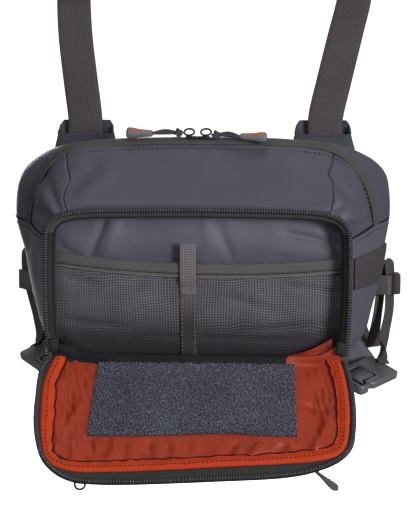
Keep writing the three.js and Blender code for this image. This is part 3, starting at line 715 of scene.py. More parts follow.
def repeat(name: str, shape: Shape, places: Sequence[Matrix], finish: Finish) -> bpy.types.Object:
    """One small shape set down many times as a single piece.

    Args:
        name: the piece's name.
        shape: adds one copy to a mesh.
        places: where each copy goes, in millimetres.
        finish: its finish.

    Returns:
        The piece.
    """
    whole = bmesh.new()
    batch = bpy.data.meshes.new("batch")
    for start in range(0, len(places), BATCH):
        few = bmesh.new()
        for place in places[start:start + BATCH]:
            shape(few, place)
        few.to_mesh(batch)
        few.free()
        whole.from_mesh(batch)
    bpy.data.meshes.remove(batch)
    for face in whole.faces:
        face.smooth = True
    return piece(name, whole, finish)


def bead(sheet: bmesh.types.BMesh, place: Matrix) -> None:
    """Adds a small round bead, which its place stretches into a stitch."""
    bmesh.ops.create_uvsphere(sheet, u_segments=6, v_segments=4, radius=1.0, matrix=place)


def coil_loop(sheet: bmesh.types.BMesh, place: Matrix) -> None:
    """Adds one loop of a zip's coil."""
    bmesh.ops.create_uvsphere(sheet, u_segments=8, v_segments=5, radius=1.0, matrix=place)


def fibre(sheet: bmesh.types.BMesh, place: Matrix) -> None:
    """Adds one short fibre of the pile, tapered along its place's x."""
    lying = place @ Matrix.Rotation(math.radians(90), 4, "Y")
    bmesh.ops.create_cone(sheet, cap_ends=True, segments=4, radius1=1.0, radius2=0.5, depth=2.0, matrix=lying)


def pose(at: Vector, forward: Vector, up: Vector, size: Vector) -> Matrix:
    """A placing for a small shape.

    Args:
        at: its middle.
        forward: where its x points.
        up: what its z lies near.
        size: its size on each axis.

    Returns:
        The placing.
    """
    ahead = forward.normalized()
    side = up.cross(ahead).normalized()
    top = ahead.cross(side)
    turn = Matrix((ahead, side, top)).transposed().to_4x4()
    return Matrix.Translation(at) @ turn @ Matrix.Diagonal((*size, 1.0))


@dataclass(frozen=True)
class Stitch:
    """A kind of stitch: its pitch, its length and its thread in millimetres."""

    pitch: float
    long: float
    thick: float


WALL_STITCH = Stitch(3.2, 2.3, 0.55)
FLANK_STITCH = Stitch(3.2, 2.3, 0.5)
NET_STITCH = Stitch(2.1, 1.35, 0.85)
STRIP_STITCH = Stitch(2.9, 1.7, 0.6)
BAR_STITCH = Stitch(1.7, 1.2, 0.5)
FLAP_STITCH = Stitch(3.0, 2.0, 0.8)


def stitches(path: Sequence[Vector], ups: Sequence[Vector], kind: Stitch, lift: float) -> list[Matrix]:
    """Places of a row of stitches.

    Args:
        path: points of the row.
        ups: the cloth's outward direction at each.
        kind: the stitch.
        lift: how far the row lies above the path.

    Returns:
        The places.
    """
    line, out = Spline([p + up * lift for p, up in zip(path, ups)]), Spline(ups)
    size = Vector((kind.long / 2, kind.thick / 2, kind.thick / 2))
    return [pose(line.point(t), line.tangent(t), out.point(t).normalized(), size) for t in line.even(kind.pitch)]


def seat(thing: bpy.types.Object, slot: str, *nodes: str) -> bpy.types.Object:
    """Lets a piece ride on the frame in place of its solids, and reports it.

    Args:
        thing: the piece.
        slot: a material slot's name; not used.
        nodes: the solids that it stands for.

    Returns:
        The piece.
    """
    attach(thing, ROOT)
    if nodes:
        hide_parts(*nodes)
    LOG.info("%s: %d faces", thing.name, len(thing.data.polygons))
    return thing


def round_edges(body: bmesh.types.BMesh, edges: list[bmesh.types.BMEdge], offset: float) -> None:
    """Rounds edges of a mesh by an offset in millimetres."""
    bmesh.ops.bevel(body, geom=edges, offset=offset, offset_type="OFFSET", affect="EDGES", segments=2, profile=0.5,
                    material=-1, clamp_overlap=True)


def softened(name: str, offset: float, move: Matrix) -> bmesh.types.BMesh:
    """A solid's own shape with softened edges, in millimetres.

    Args:
        name: the solid's name.
        offset: the softening.
        move: how it is moved.

    Returns:
        The mesh.
    """
    body = bmesh.new()
    body.from_mesh(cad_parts[name].data)
    bmesh.ops.remove_doubles(body, verts=body.verts, dist=1e-6)
    bmesh.ops.dissolve_limit(body, angle_limit=FLAT_ANGLE, verts=body.verts, edges=body.edges)
    bmesh.ops.scale(body, vec=(1 / MM,) * 3, verts=body.verts)
    edges = [e for e in body.edges if len(e.link_faces) == 2 and e.calc_face_angle() > EDGE_ANGLE]
    round_edges(body, edges, offset)
    bmesh.ops.dissolve_degenerate(body, dist=0.03, edges=body.edges)
    bmesh.ops.transform(body, matrix=move, verts=body.verts)
    body.normal_update()
    return body


def hard_piece(name: str, body: bmesh.types.BMesh, *finishes: Finish) -> bpy.types.Object:
    """A hard piece whose clear edges stay sharp.

    Args:
        name: the piece's name.
        body: its mesh, which is freed.
        finishes: one finish for each material slot.

    Returns:
        The piece.
    """
    for face in body.faces:
        face.smooth = True
    thing = piece(name, body, *finishes)
    thing.data.set_sharp_from_angle(angle=SHARP_ANGLE)
    return thing


def hard_copy(name: str, offset: float, finish: Finish, move: Matrix = Matrix.Identity(4)) -> bpy.types.Object:
    """A solid's own shape as a hard piece of the same name, softened and moved in millimetres."""
    return hard_piece(name, softened(name, offset, move), finish)


# The pack


@dataclass
class BagForm:
    """The bag's main surfaces, in millimetres.

    Each row of over and under holds x, z of the rear, band and rim seams, from the flank's seam to the middle. The
    rear seam is drawn in at both flanks between the drawn heights.
    """

    panel_depth: float = 6.0
    gap: float = 0.3
    band_depth: float = 46.0
    band_half: float = 4.3
    under_tape: float = 2.2
    rim_depth: float = 83.0
    rim_lean: float = 0.065
    rim_top: float = 39.0
    rear_shift: float = -1.6
    left_draw: float = 4.0
    right_draw: float = 2.2
    drawn: tuple[float, float] = (-40.0, 20.0)
    left_puff: float = 2.6
    rear_puff: float = 3.0
    front_puff: float = 3.4
    flank_puff: float = 2.0
    pocket_depth: float = 66.0
    pocket_bulge: float = 8.0
    pocket_share: float = 0.745
    edge: float = 0.0012
    inside: Vector = field(default_factory=lambda: Vector((0.0, -45.0, 0.0)))
    over: tuple = (
        ((134.3, 27), (121.7, 25.5), (104.3, 19)),
        ((134.5, 42), (119.3, 40), (102.8, 26.5)),
        ((131.6, 57.5), (113, 57), (97.5, 32.5)),
        ((124, 66.5), (103, 70.5), (89, 36)),
        ((108, 73.5), (88, 78.8), (74, 37.8)),
        ((60, 79), (56, 82.3), (42, 38.6)),
        ((0, 80.5), (0, 83.2), (0, 39)),
    )
    under: tuple = (
        ((134.3, 27), (121.7, 25.5), (104.3, 19)),
        ((131.8, -3), (120.6, -3), (104.5, -3)),
        ((126, -32), (116, -32), (104, -32)),
        ((117, -58), (108, -56), (101.5, -52)),
        ((97, -70), (94, -68), (89, -63)),
        ((45, -72), (45, -71.5), (45, -65.3)),
        ((0, -72), (0, -71.5), (0, -65.3)),
    )

    def __post_init__(self) -> None:
        """Draws the seams."""
        self.upper_seams = self._seams(self.over)
        self.lower_seams = self._seams(self.under)

    def _seams(self, rows: tuple) -> tuple[Spline, Spline, Spline]:
        """Draws one arc's seams from left to right.

        Args:
            rows: the arc's rows.

        Returns:
            The rear, band and rim seams.
        """
        depths = (
            lambda z: -self.panel_depth - self.gap,
            lambda z: -self.band_depth,
            lambda z: -(self.rim_depth + self.rim_lean * (self.rim_top - z)),
        )
        low, high = self.drawn
        curves = []
        for key, depth in enumerate(depths):
            right = [Vector((row[key][0], depth(row[key][1]), row[key][1])) for row in rows]
            left = [Vector((-p.x, p.y, p.z)) for p in right[:-1]]
            for points, draw in ((left, self.left_draw), (right, -self.right_draw)):
                for p in points:
                    p.x += draw * (key == 0 and low < p.z < high)
            shift = Vector((0 if key else self.rear_shift, 0, 0))
            curves.append(Spline([p + shift for p in (*left, *reversed(right))]))
        return tuple(curves)

    def upper(self, u: float, v: float) -> Vector:
        """A point of the upper wall.

        Args:
            u: from left to right, 0 to 1.
            v: from the back panel (0) over the band (0.5) to the rim (1).

        Returns:
            The point.
        """
        u = self.edge + u * (1 - 2 * self.edge)
        rear, band, rim = self.upper_seams
        rearward = v < 0.5
        start = (rear if rearward else band).point(u)
        end = (band if rearward else rim).point(u)
        t = 2 * v if rearward else 2 * v - 1
        out = -band.tangent(u).cross(end - start).normalized()
        flank = min(u, 1 - u)
        puff = self.rear_puff if rearward else self.front_puff * blend(0.3, 1.0, ease(0.04, 0.3, flank))
        puff += self.left_puff * (1 - ease(0.1, 0.26, u)) * rearward
        return start.lerp(end, t) + out * (4 * t * (1 - t) * puff)

    def lower(self, u: float, v: float) -> Vector:
        """A point of the lower wall, which meets the upper wall at both flank seams."""
        end = round(u)
        near = 1 - ease(0.0, 0.08, abs(u - end))
        return self._sweep(u, v) + (self.upper(end, v) - self._sweep(end, v)) * near

    def _sweep(self, u: float, v: float) -> Vector:
        """A point of the lower wall's own sweep, rounded from the back panel to the rim without a corner.

        Args:
            u, v: from left to right and from the back panel to the rim, 0 to 1.

        Returns:
            The point.
        """
        u = self.edge + u * (1 - 2 * self.edge)
        rear, band, rim = (seam.point(u) for seam in self.lower_seams)
        out = self.lower_seams[1].tangent(u).cross(rim - rear).normalized()
        place = rear * (2 * v * v - 3 * v + 1) + band * (4 * v - 4 * v * v) + rim * (2 * v * v - v)
        return place + out * (4 * v * (1 - v) * self.flank_puff)

    def _share(self, u: float, distance: float, towards: int) -> float:
        """How much of v a distance from the band takes, towards the rear (0) or the rim (2)."""
        t = self.edge + u * (1 - 2 * self.edge)
        span = (self.upper_seams[towards].point(t) - self.upper_seams[1].point(t)).length
        return 0.5 * distance / span

    def rear(self, u: float, v: float) -> Vector:
        """A point of the wall behind the top zip."""
        return self.upper(u, v * (0.5 - self._share(u, self.band_half - self.under_tape, 0)))

    def front(self, u: float, v: float) -> Vector:
        """A point of the wall in front of the top zip."""
        start = 0.5 + self._share(u, self.band_half - self.under_tape, 2)
        return self.upper(u, start + v * (1 - start))

    def band(self, u: float, v: float) -> Vector:
        """A point of the top zip's tape."""
        low = 0.5 - self._share(u, self.band_half, 0)
        high = 0.5 + self._share(u, self.band_half, 2)
        return self.upper(u, low + v * (high - low))

    def pocket(self, x: float, z: float) -> float:
        """Depth of the pocket's back wall, puffed forwards."""
        side = max(0.0, 1 - (x / 110) ** 2)
        rise = max(0.0, 1 - ((z + 4) / 62) ** 2)
        return -(self.pocket_depth + self.pocket_bulge * math.sqrt(side * rise))


FORM = BagForm()


@dataclass
class Walls:
    """The bag's shell: front, rear and side walls, the top zip and the padded back."""

    wall: float = 1.6
    seam_rows: int = 24
    seam_ends: tuple[float, float] = (0.012, 0.988)
    thread_lift: float = 0.25
    pad_front: float = -1.2
    pad_thick: float = 4.0
    pad_inset: float = 0.998
    pad_cap: float = 3.2
    channel_x: float = 45.0
    channel_half: float = 2.6
    channel_deep: float = 3.0
    left_seam: tuple = (
        (0, -94.4), (0.2, -92.8), (0.36, -91.3), (0.48, -89.6), (0.62, -91.9), (0.73, -92.6), (1, -89),
    )
    right_seam: tuple = ((0, 92.5), (0.2, 91), (0.4, 88.6), (0.58, 91.8), (0.8, 91.5), (1, 88.2))
    creases: tuple = (
        Crease((-68, 74), (-90, 50), 0.9, 7.0),
        Crease((-60, 62), (-84, 44), -0.6, 6.0),
        Crease((-118, 52), (-96, 36), -0.9, 5.0),
        Crease((-114, 36), (-93, 30), 2.2, 3.2),
        Crease((-104, 50), (-92, 34), 1.2, 2.6),
        Crease((-112, 62), (-97, 45), 0.7, 4.0),
        Crease((92, 58), (118, 32), 0.9, 3.4),
        Crease((95, 48), (112, 28), -0.8, 4.0),
        Crease((94, 32), (112, 26), 2.2, 3.2),
        Crease((90, 36), (104, 46), 1.1, 2.6),
        Crease((72, 74), (90, 56), 0.7, 6.0),
        Crease((40, 46), (84, 42), 0.7, 5.0),
    )
    right_wing: tuple = ((115, -63.5), (129.5, -84.5), (121, -88.5), (95, -86))
    left_wing: tuple = ((-95, -83), (-121, -85), (-132, -78), (-119.5, -60.5))
    flank_creases: tuple = (
        Crease((-118, 10), (-106, -30), 0.9, 6.0),
        Crease((118, -20), (106, -52), 0.8, 6.0),
        Crease((110, -56), (96, -64), 1.0, 5.0),
    )

    def _across(self, table: tuple, low: float, high: float) -> Edge:
        """Where along the front wall a seam given as x by v lies.

        Args:
            table: pairs of v and x.
            low: lowest u to search.
            high: highest u to search.

        Returns:
            A function from v to u.
        """
        rows = self.seam_rows
        line = Spline([Vector((v, x, 0)) for v, x in table])
        points = [line.point(k / 80) for k in range(81)]
        found = []
        for k in range(rows + 1):
            v = k / rows
            goal = min(points, key=lambda p: abs(p.x - v)).y
            a, b = low, high
            for _ in range(24):
                middle = (a + b) / 2
                a, b = (middle, b) if FORM.front(middle, v).x < goal else (a, middle)
            found.append(a)

        def place(v: float) -> float:
            """The seam's u at v, between the rows that were found."""
            row = min(rows, int(v * rows))
            return blend(found[row], found[min(rows, row + 1)], v * rows % 1)
        return place

    def _front_relief(self, u: float, v: float, at: Vector) -> float:
        """Creases and soft unevenness of the front wall."""
        fade = 1 - ease(0.88, 1.0, v)
        uneven = 0.8 * ripple(at, 28, 1.3) + 0.3 * ripple(at, 10, 4.1)
        return (1.5 * folds(self.creases, at.x, at.z) + uneven) * fade

    def _front(self) -> None:
        """The front wall in three panels with a wavy seam at each side."""
        left = self._across(self.left_seam, 0.01, 0.48)
        right = self._across(self.right_seam, 0.52, 0.99)
        spans = (
            (lambda v: 0.0, left, 44, 66.0),
            (left, right, 120, 186.0),
            (right, lambda v: 1.0, 44, 66.0),
        )
        tuck, roll = (1.1, 1.1, 0.5, 2.2), (1.0, 2.4)
        patches = []
        for start, end, columns, width in spans:
            def surface(u: float, v: float, start: Edge = start, end: Edge = end) -> Vector:
                """A point of one panel."""
                return FORM.front(blend(start(v), end(v), u), v)
            size = (width, 58.0)
            patches.append(Patch(surface, columns, 44, size, FORM.inside, self._front_relief, tuck, roll))
        made = cloth("front_wall", patches, self.wall, SHELL)
        seat(made, "shell", "front_wall")

    def _plain(self, name: str, surface: Surface, cells: tuple[int, int], size: tuple[float, float], tuck: tuple,
               finish: Cloth) -> bpy.types.Object:
        """One wall of a single panel.

        Args:
            name: the piece's name.
            surface: where it lies.
            cells: its columns and rows.
            size: its cut across and along.
            tuck: how far each edge turns in.
            finish: its cloth.

        Returns:
            The piece.
        """
        def relief(u: float, v: float, at: Vector) -> float:
            """Creases and soft unevenness."""
            return folds(self.flank_creases, at.x, at.z) + 0.5 * ripple(at, 30, 7.7) + 0.15 * ripple(at, 8, 2.2)

        def sewn(u: float, v: float) -> Vector:
            """The surface, drawn on to the back panel's edge."""
            return surface(u, v) + Vector((0, 4.4 * ease(0.09, 0.0, v), 0))
        return cloth(name, [Patch(sewn, *cells, size, FORM.inside, relief, tuck)], self.wall, finish)

    def _zip(self) -> None:
        """The top zip's two tapes, meeting in a fine groove."""
        wide = 2 * FORM.band_half

        def relief(u: float, v: float, at: Vector) -> float:
            """Two rounded tapes."""
            groove = math.exp(-(((v - 0.5) * wide / 0.6) ** 2))
            return 1.1 - 1.2 * groove - 0.8 * (2 * v - 1) ** 6
        patch = Patch(FORM.band, 260, 18, (400.0, wide), FORM.inside, relief)
        seat(cloth("top_zip", [patch], 0.9, TOP_TAPE), "tape", "top_zip")

    def _seam_stitches(self) -> None:
        """Stitch rows in front of the top zip and below the flank seams, and a dark cord along each flank seam, painted
        as the shade in its groove.
        """
        path = [FORM.front(blend(*self.seam_ends, k / 90), 0.12) for k in range(91)]
        ups = [(p - FORM.inside).normalized() for p in path]
        rows = stitches(path, ups, WALL_STITCH, self.thread_lift)
        for u in self.seam_ends:
            path = [FORM.lower(u, 0.05 + 0.9 * k / 30) for k in range(31)]
            ups = [Vector((p.x, 0, 0)).normalized() for p in path]
            rows += stitches(path, ups, FLANK_STITCH, self.thread_lift)
        # Dark cords along the flank seams: painted shade in their grooves.
        line = bmesh.new()
        for u in (0.0, 1.0):
            path = [FORM.upper(u, 0.1 + 0.88 * k / 40) for k in range(41)]
            sweep(line, along(path, UP, 80), round_profile(1.1, 6))
        seat(piece("flank_seam_shadows", line, THREAD), "shell")
        seat(repeat("wall_stitches", bead, rows, THREAD), "shell")

    def _outline(self) -> list[Vector]:
        """The back panel's outline with its wings.

        Returns:
            Its points, from the left flank over the top.
        """
        over = [FORM.upper_seams[0].point(k / 60) for k in range(61)]
        under = [FORM.lower_seams[0].point(k / 60) for k in range(61)]
        flank = [p for p in under if -60 < p.z < 26]
        right = sorted((p for p in flank if p.x > 0), key=lambda p: -p.z)
        left = sorted((p for p in flank if p.x < 0), key=lambda p: p.z)
        wings = [Vector((x, 0, z)) for x, z in (*self.right_wing, *self.left_wing)]
        return [*over, *right, *wings, *left]

    def _back(self) -> None:
        """The padded back, blown up as cloth and then sewn down along two channels."""
        pad = bmesh.new()
        outline = self._outline()
        ring = bmesh.ops.create_circle(pad, cap_ends=True, segments=len(outline), radius=1.0)["verts"]
        for vert, p in zip(ring, outline):
            vert.co = (p.x * self.pad_inset, self.pad_front, p.z * self.pad_inset)
        grown = bmesh.ops.extrude_face_region(pad, geom=list(pad.faces))
        lifted = [v for v in grown["geom"] if isinstance(v, bmesh.types.BMVert)]
        bmesh.ops.translate(pad, vec=FRONT * self.pad_thick, verts=lifted)
        bmesh.ops.recalc_face_normals(pad, faces=pad.faces)
        made = piece("back_panel", pad, BACK_CLOTH, SHELL)
        remesh = made.modifiers.new("even", "REMESH")
        remesh.mode = "VOXEL"
        remesh.voxel_size = 2.0 * MM
        self._settle(made)
        self._inflate(made)
        self._channels(made)
        seat(made, "back", "back_panel")

    def _settle(self, thing: bpy.types.Object) -> None:
        """Keeps the shape that a piece's modifiers give, and drops them.

        Args:
            thing: the piece.
        """
        shaped = thing.evaluated_get(bpy.context.evaluated_depsgraph_get())
        mesh = bpy.data.meshes.new_from_object(shaped)
        thing.modifiers.clear()
        thing.data = mesh

    def _inflate(self, thing: bpy.types.Object) -> None:
        """Blows a closed piece up as cloth, with a cap on how far a point may move.

        Args:
            thing: the piece.
        """
        before = [v.co.copy() for v in thing.data.vertices]
        soft = thing.modifiers.new("pad", "CLOTH")
        soft.settings.use_pressure = True
        soft.settings.uniform_pressure_force = 4.0
        soft.settings.effector_weights.gravity = 0.0
        soft.settings.quality = 5
        soft.point_cache.frame_start = 1
        soft.point_cache.frame_end = 20
        for step in range(1, 16):
            bpy.context.scene.frame_set(step)
        self._settle(thing)
        bpy.context.scene.frame_set(1)
        cap = self.pad_cap * MM
        for vert, start in zip(thing.data.vertices, before):
            move = vert.co - start
            if move.length > cap:
                vert.co = start + move.normalized() * cap

    def _channels(self, thing: bpy.types.Object) -> None:
        """Presses the sewn channels into the padded back and gives its front face the shell's cloth.

        Args:
            thing: the padded back.
        """
        for vert in thing.data.vertices:
            x, z = vert.co.x / MM, vert.co.z / MM
            across = math.exp(-(((abs(x) - self.channel_x) / self.channel_half) ** 2))
            groove = across * ease(-64, -54, z) * (1 - ease(60, 70, z))
            vert.co.y -= self.channel_deep * MM * groove * (1 if vert.co.y > -3 * MM else 0)
            vert.co.y = min(vert.co.y, 1.8 * MM)
        for polygon in thing.data.polygons:
            polygon.material_index = int(polygon.normal.y < -0.3)
        thing.data.shade_smooth()

    def build(self) -> None:
        """Builds the shell."""
        self._front()
        rear = self._plain("rear_wall", FORM.rear, (120, 26), (400.0, 40.0), (0.8, 0.8, 0.0, 1.3), SHELL)
        seat(rear, "shell", "rear_wall")
        # The side wall takes the lighter copy of the shell, painted light.
        side = self._plain("side_wall", FORM.lower, (190, 54), (430.0, 82.0), (0.9, 0.9, 0.0, 2.2), LIT_FLANK_SHELL)
        seat(side, "shell", "side_wall")
        self._zip()
        self._seam_stitches()
        self._back()


@dataclass
class FrontPocket:
    """The open front pocket: back wall, net with its bound edge, webbing strip, zip and folds."""

    net_half: float = 101.0
    net_low: float = -64.0
    net_slack: float = 2.6
    bind_height: float = 9.0
    bind_thick: float = 1.4
    strip_x: float = -6.6
    strip_width: float = 11.0
    strip_top: float = 15.0
    strip_low: float = -63.0
    zip_low: float = -50.0
    sewn_share: float = 0.545
    tape_pitch: float = 1.6
    coil_pitch: float = 1.8
    coil: float = 1.5
    centre: Vector = field(default_factory=lambda: Vector((0.0, 0.0, -4.0)))
    behind: Vector = field(default_factory=lambda: Vector((0.0, 900.0, 0.0)))
    back_creases: tuple = (
        Crease((-64, 31), (-76, 4), 2.2, 2.4),
        Crease((-56, 30), (-66, 2), -1.2, 4.4),
        Crease((-98, 12), (-84, 4), 1.6, 3.0),
        Crease((12, 30), (24, 2), 1.2, 3.2),
        Crease((4, 32), (8, 10), -0.8, 4.0),
        Crease((58, 22), (96, 14), 1.7, 2.4),
        Crease((40, 12), (92, 6), -0.9, 4.0),
        Crease((-40, 34), (20, 33), -0.8, 4.0),
        Crease((84, 26), (100, 6), 1.6, 2.8),
    )
    net_creases: tuple = (
        Crease((-64, -28), (-38, -16), 1.0, 3.6),
        Crease((-60, -34), (-30, -22), -0.8, 4.0),
        Crease((-96, -40), (-50, -44), 1.0, 3.0),
        Crease((20, -22), (60, -34), 0.8, 3.4),
        Crease((30, -46), (92, -40), 0.8, 2.6),
        Crease((-40, -50), (70, -52), 0.7, 2.2),
        Crease((60, -14), (96, -19), 0.9, 2.6),
        Crease((-94, -10), (-70, -14), 0.8, 3.0),
    )

    def _ring(self) -> list[Vector]:
        """The line inside the bag's wall that the back wall is sewn to.

        Returns:
            Its points, from the bottom's middle round.
        """
        count, inset, share = 90, 3.6, FORM.pocket_share
        ring = [FORM.upper((k + 0.5) / count, share) for k in range(count)]
        ring += [FORM.lower(1 - (k + 0.5) / count, share) for k in range(count)]
        shrunk = []
        for p in ring:
            flat = Vector((p.x, 0, p.z)) - self.centre
            shrunk.append(self.centre + flat * (1 - inset / flat.length))
        middle = count * 3 // 2
        return shrunk[middle:] + shrunk[:middle]

    def _back(self) -> None:
        """The puffed back wall."""
        ring = self._ring()

        def surface(u: float, v: float) -> Vector:
            """A point of the wall.

            Args:
                u, v: its place round the ring and its reach from the middle, 0 to 1.

            Returns:
                The point.
            """
            place = u * len(ring)
            a, b = ring[int(place) % len(ring)], ring[(int(place) + 1) % len(ring)]
            flat = self.centre.lerp(a.lerp(b, place % 1), v)
            return Vector((flat.x, FORM.pocket(flat.x, flat.z), flat.z))

        def relief(u: float, v: float, at: Vector) -> float:
            """Folds of slack cloth."""
            uneven = 0.8 * ripple(at, 24, 3.3) + 0.25 * ripple(at, 11, 8.1)
            return (1.4 * folds(self.back_creases, at.x, at.z) + uneven) * (1 - ease(0.9, 1.0, v))
        patch = Patch(surface, 180, 60, (330.0, 80.0), self.behind, relief, closed=True)
        made = cloth("pocket_back", [patch], 1.2, LINING_GREY)
        seat(made, "shell", "pocket_back")

    def _net_top(self, x: float) -> float:
        """Height of the net's bound edge."""
        return 1 + 0.00052 * x * x - 0.016 * x

    def _net_gap(self, x: float, z: float) -> float:
        """How far the net stands in front of the back wall."""
        across = max(0.0, 1 - (x / self.net_half) ** 4)
        return 0.4 + self.net_slack * across * min(1.0, (z - self.net_low) / 25)

    def _net_at(self, u: float, v: float) -> Vector:
        """A point of the net, from its foot (v = 0) to its bound edge (1)."""
        x = self.net_half * (2 * u - 1)
        z = blend(self.net_low, self._net_top(x), v)
        return Vector((x, FORM.pocket(x, z) - self._net_gap(x, z) - 0.9, z))

    def _edge_at(self, u: float, v: float) -> Vector:
        """A point of the net's binding, from its lower (v = 0) to its upper edge (1)."""
        x = self.net_half * (2 * u - 1)
        z = self._net_top(x) - self.bind_height * (1 - v)
        return Vector((x, FORM.pocket(x, z) - self._net_gap(x, z) - 2.7, z))

    def _net(self) -> None:
        """The net, whose weave drifts with its slack."""
        def slack(u: float, v: float, at: Vector) -> float:
            """Soft folds of the net."""
            fade = ease(0.0, 0.12, v) * (1 - ease(0.8, 0.95, v))
            return max(-0.9, (1.5 * folds(self.net_creases, at.x, at.z) + 0.9 * ripple(at, 20, 5.5) + 0.7) * fade)
        made = cloth("mesh_pocket", [Patch(self._net_at, 150, 64, (202.0, 66.0), self.behind, slack)], 0.7, NET)
        weave = made.data.uv_layers.active.data
        for loop in made.data.loops:
            at = made.data.vertices[loop.vertex_index].co / MM
            drift = ripple(at, 34, 3.1), ripple(at, 30, 7.4) + 0.5 * ripple(at, 13, 1.6)
            weave[loop.index].uv = (at.x + 2.0 * drift[0], at.z + 3.2 * drift[1])
        seat(made, "mesh", "mesh_pocket")

    def _binding(self) -> None:
        """The net's binding with its stitch row."""
        row = 0.2

        def plump(u: float, v: float, at: Vector) -> float:
            """A rounded upper fold, a stitch groove and a soft wave."""
            groove = math.exp(-(((v - row) * self.bind_height / 0.8) ** 2))
            return 0.45 - 0.5 * groove - 1.1 * ease(0.86, 1.0, v) + 0.2 * ripple(at, 16, 9.2)
        patch = Patch(self._edge_at, 170, 18, (self.bind_height, 194.0), self.behind, plump)
        seat(cloth("mesh_binding", [patch], 1.3, BINDING), "binding", "mesh_binding")
        path = [self._edge_at(k / 60, row) for k in range(61)]
        places = stitches(path, [FRONT] * len(path), NET_STITCH, 0.55)
        seat(repeat("pocket_stitches", bead, places, THREAD), "binding")

    def _strip_stitches(self) -> None:
        """The rows down the strip's sewn length and the bars across its loop."""
        places = []
        for u in (0.1, 0.9):
            side = [self._strip(u, 0.54 * k / 40) for k in range(41)]
            places += stitches(side, [FRONT] * len(side), STRIP_STITCH, 1.2)
        for v in (0.74, 0.57):
            bar = [self._strip(0.14 + 0.72 * k / 10, v) for k in range(11)]
            places += stitches(bar, [FRONT] * len(bar), BAR_STITCH, 1.65)
        seat(repeat("strip_stitches", bead, places, PALE_THREAD), "strip")

    def _piping(self) -> None:
        """The pale piping below the binding."""
        pipe = bmesh.new()
        path = [self._edge_at(k / 60, -0.03) + FRONT * 0.35 for k in range(61)]
        sweep(pipe, along(path, FRONT, 150), round_profile(0.8))
        seat(piece("mesh_piping", pipe, PIPING), "binding")

    def _strip(self, u: float, v: float) -> Vector:
        """A point of the webbing strip.

        Args:
            u, v: from left to right and from its foot to its top, 0 to 1.

        Returns:
            The point.
        """
        x = self.strip_x + self.strip_width * (u - 0.5)
        z = blend(self.strip_low, self.strip_top, v)
        low = self._net_top(x) - self.bind_height
        over = ease(low - 9, low - 1, z)
        seat_depth = FORM.pocket(x, z) - self._net_gap(x, min(z, self._net_top(x))) - 1.6
        return Vector((x, seat_depth - over * (self.bind_thick + 0.7), z))

    def _webbing(self) -> None:
        """The upright strip: a pale free loop above, a dark sewn length below, painted darker still towards its foot as
        shade.
        """
        def relief(u: float, v: float, at: Vector) -> float:
            """Soft edges and a step at the sewn end."""
            step = 0.55 if v > self.sewn_share else 0.0
            return 1.0 - 0.35 * abs(2 * u - 1) ** 8 + step + 0.15 * ripple(at, 6, 1.9)
        patch = Patch(self._strip, 16, 130, (self.strip_width, 74.0), self.behind, relief)
        made = cloth("center_webbing", [patch], 1.2, STRIP_TOP, STRIP_LOW)
        sewn = blend(self.strip_low, self.strip_top, self.sewn_share) * MM
        # The sewn length takes the cloth with the painted shade at its foot.
        for polygon in made.data.polygons:
            polygon.material_index = int(polygon.center.z < sewn)
        seat(made, "strip", "center_webbing")

    def _zip(self) -> None:
        """The zip half round the opening: tape, a black strip inside it as painted shade, coil core and coil."""
        sides = [FORM.lower_seams[2].point(1 - k / 60) for k in range(61)]
        kept = [p for p in sides if p.z > self.zip_low]
        ends = (Vector((101.6, -88.6, -60.0)), Vector((102.6, -89.2, -55.5)))
        left = [Vector((-p.x, p.y, p.z)) for p in ends] + sorted((p for p in kept if p.x < 0), key=lambda p: p.z)
        right = sorted((p for p in kept if p.x > 0), key=lambda p: -p.z) + list(reversed(ends))
        top = [FORM.upper_seams[2].point(k / 44) for k in range(1, 44)]
        line = Spline([*left, *top, *right])

        def station(t: float) -> Station:
            """One place along the opening's edge.

            Args:
                t: from its left foot to its right, 0 to 1.

            Returns:
                The station.
            """
            at = line.point(t)
            across = FRONT.cross(line.tangent(t)).normalized()
            if across.dot(Vector((at.x, 0, at.z))) > 0:
                across.negate()
            return Station(at + FRONT * 1.9 + across, across, FRONT)
        even = [station(t) for t in line.even(self.tape_pitch)]
        tape = bmesh.new()
        sweep(tape, even, [
            (0.0, -0.6), (1.6, -1.0), (3.4, -2.4), (4.3, -5.0), (5.0, -4.8), (4.4, -1.9), (2.4, -0.2), (0.0, 0.2),
        ])
        made = piece("pocket_zip", tape, TAPE, SIDE_TAPE)
        # Below 22 mm the tape takes the darker tape, painted shade down the opening's sides.
        for polygon in made.data.polygons:
            polygon.material_index = int(polygon.center.z < 22 * MM)
        seat(made, "tape", "pocket_zip")
        # A black strip down the tape's inner edge is painted shade where the opening turns into the pocket.
        shade_strip = bmesh.new()
        sweep(shade_strip, even, [(4.0, -2.2), (4.9, -2.6), (5.4, -4.5), (5.8, -9.5), (4.9, -9.5), (4.2, -5.0)])
        seat(piece("pocket_shade_strip", shade_strip, CORE_AND_SHADE_BLACK), "tape")
        seat(zip_coil("pocket_coil", [station(t) for t in line.even(self.coil_pitch)], self.coil), "coil")

    def _folds(self) -> None:
        """The grey fold, painted near-black as shade, the orange fold at the pocket's foot and the blocks over the
        zip's ends.
        """
        for side, sign, finish in (("left", -1, SHADED_FLOOR), ("right", 1, RIPSTOP)):
            def surface(u: float, v: float, sign: int = sign) -> Vector:
                """A point of the fold, which rises towards the flank."""
                z = -64.2 + 3.4 * u * u + v * (1.5 + 10 * u * u)
                return Vector((sign * (52 + 40 * u), -79.5 - 4.5 * (1 - v) - 1.6 * math.sin(math.pi * u), z))

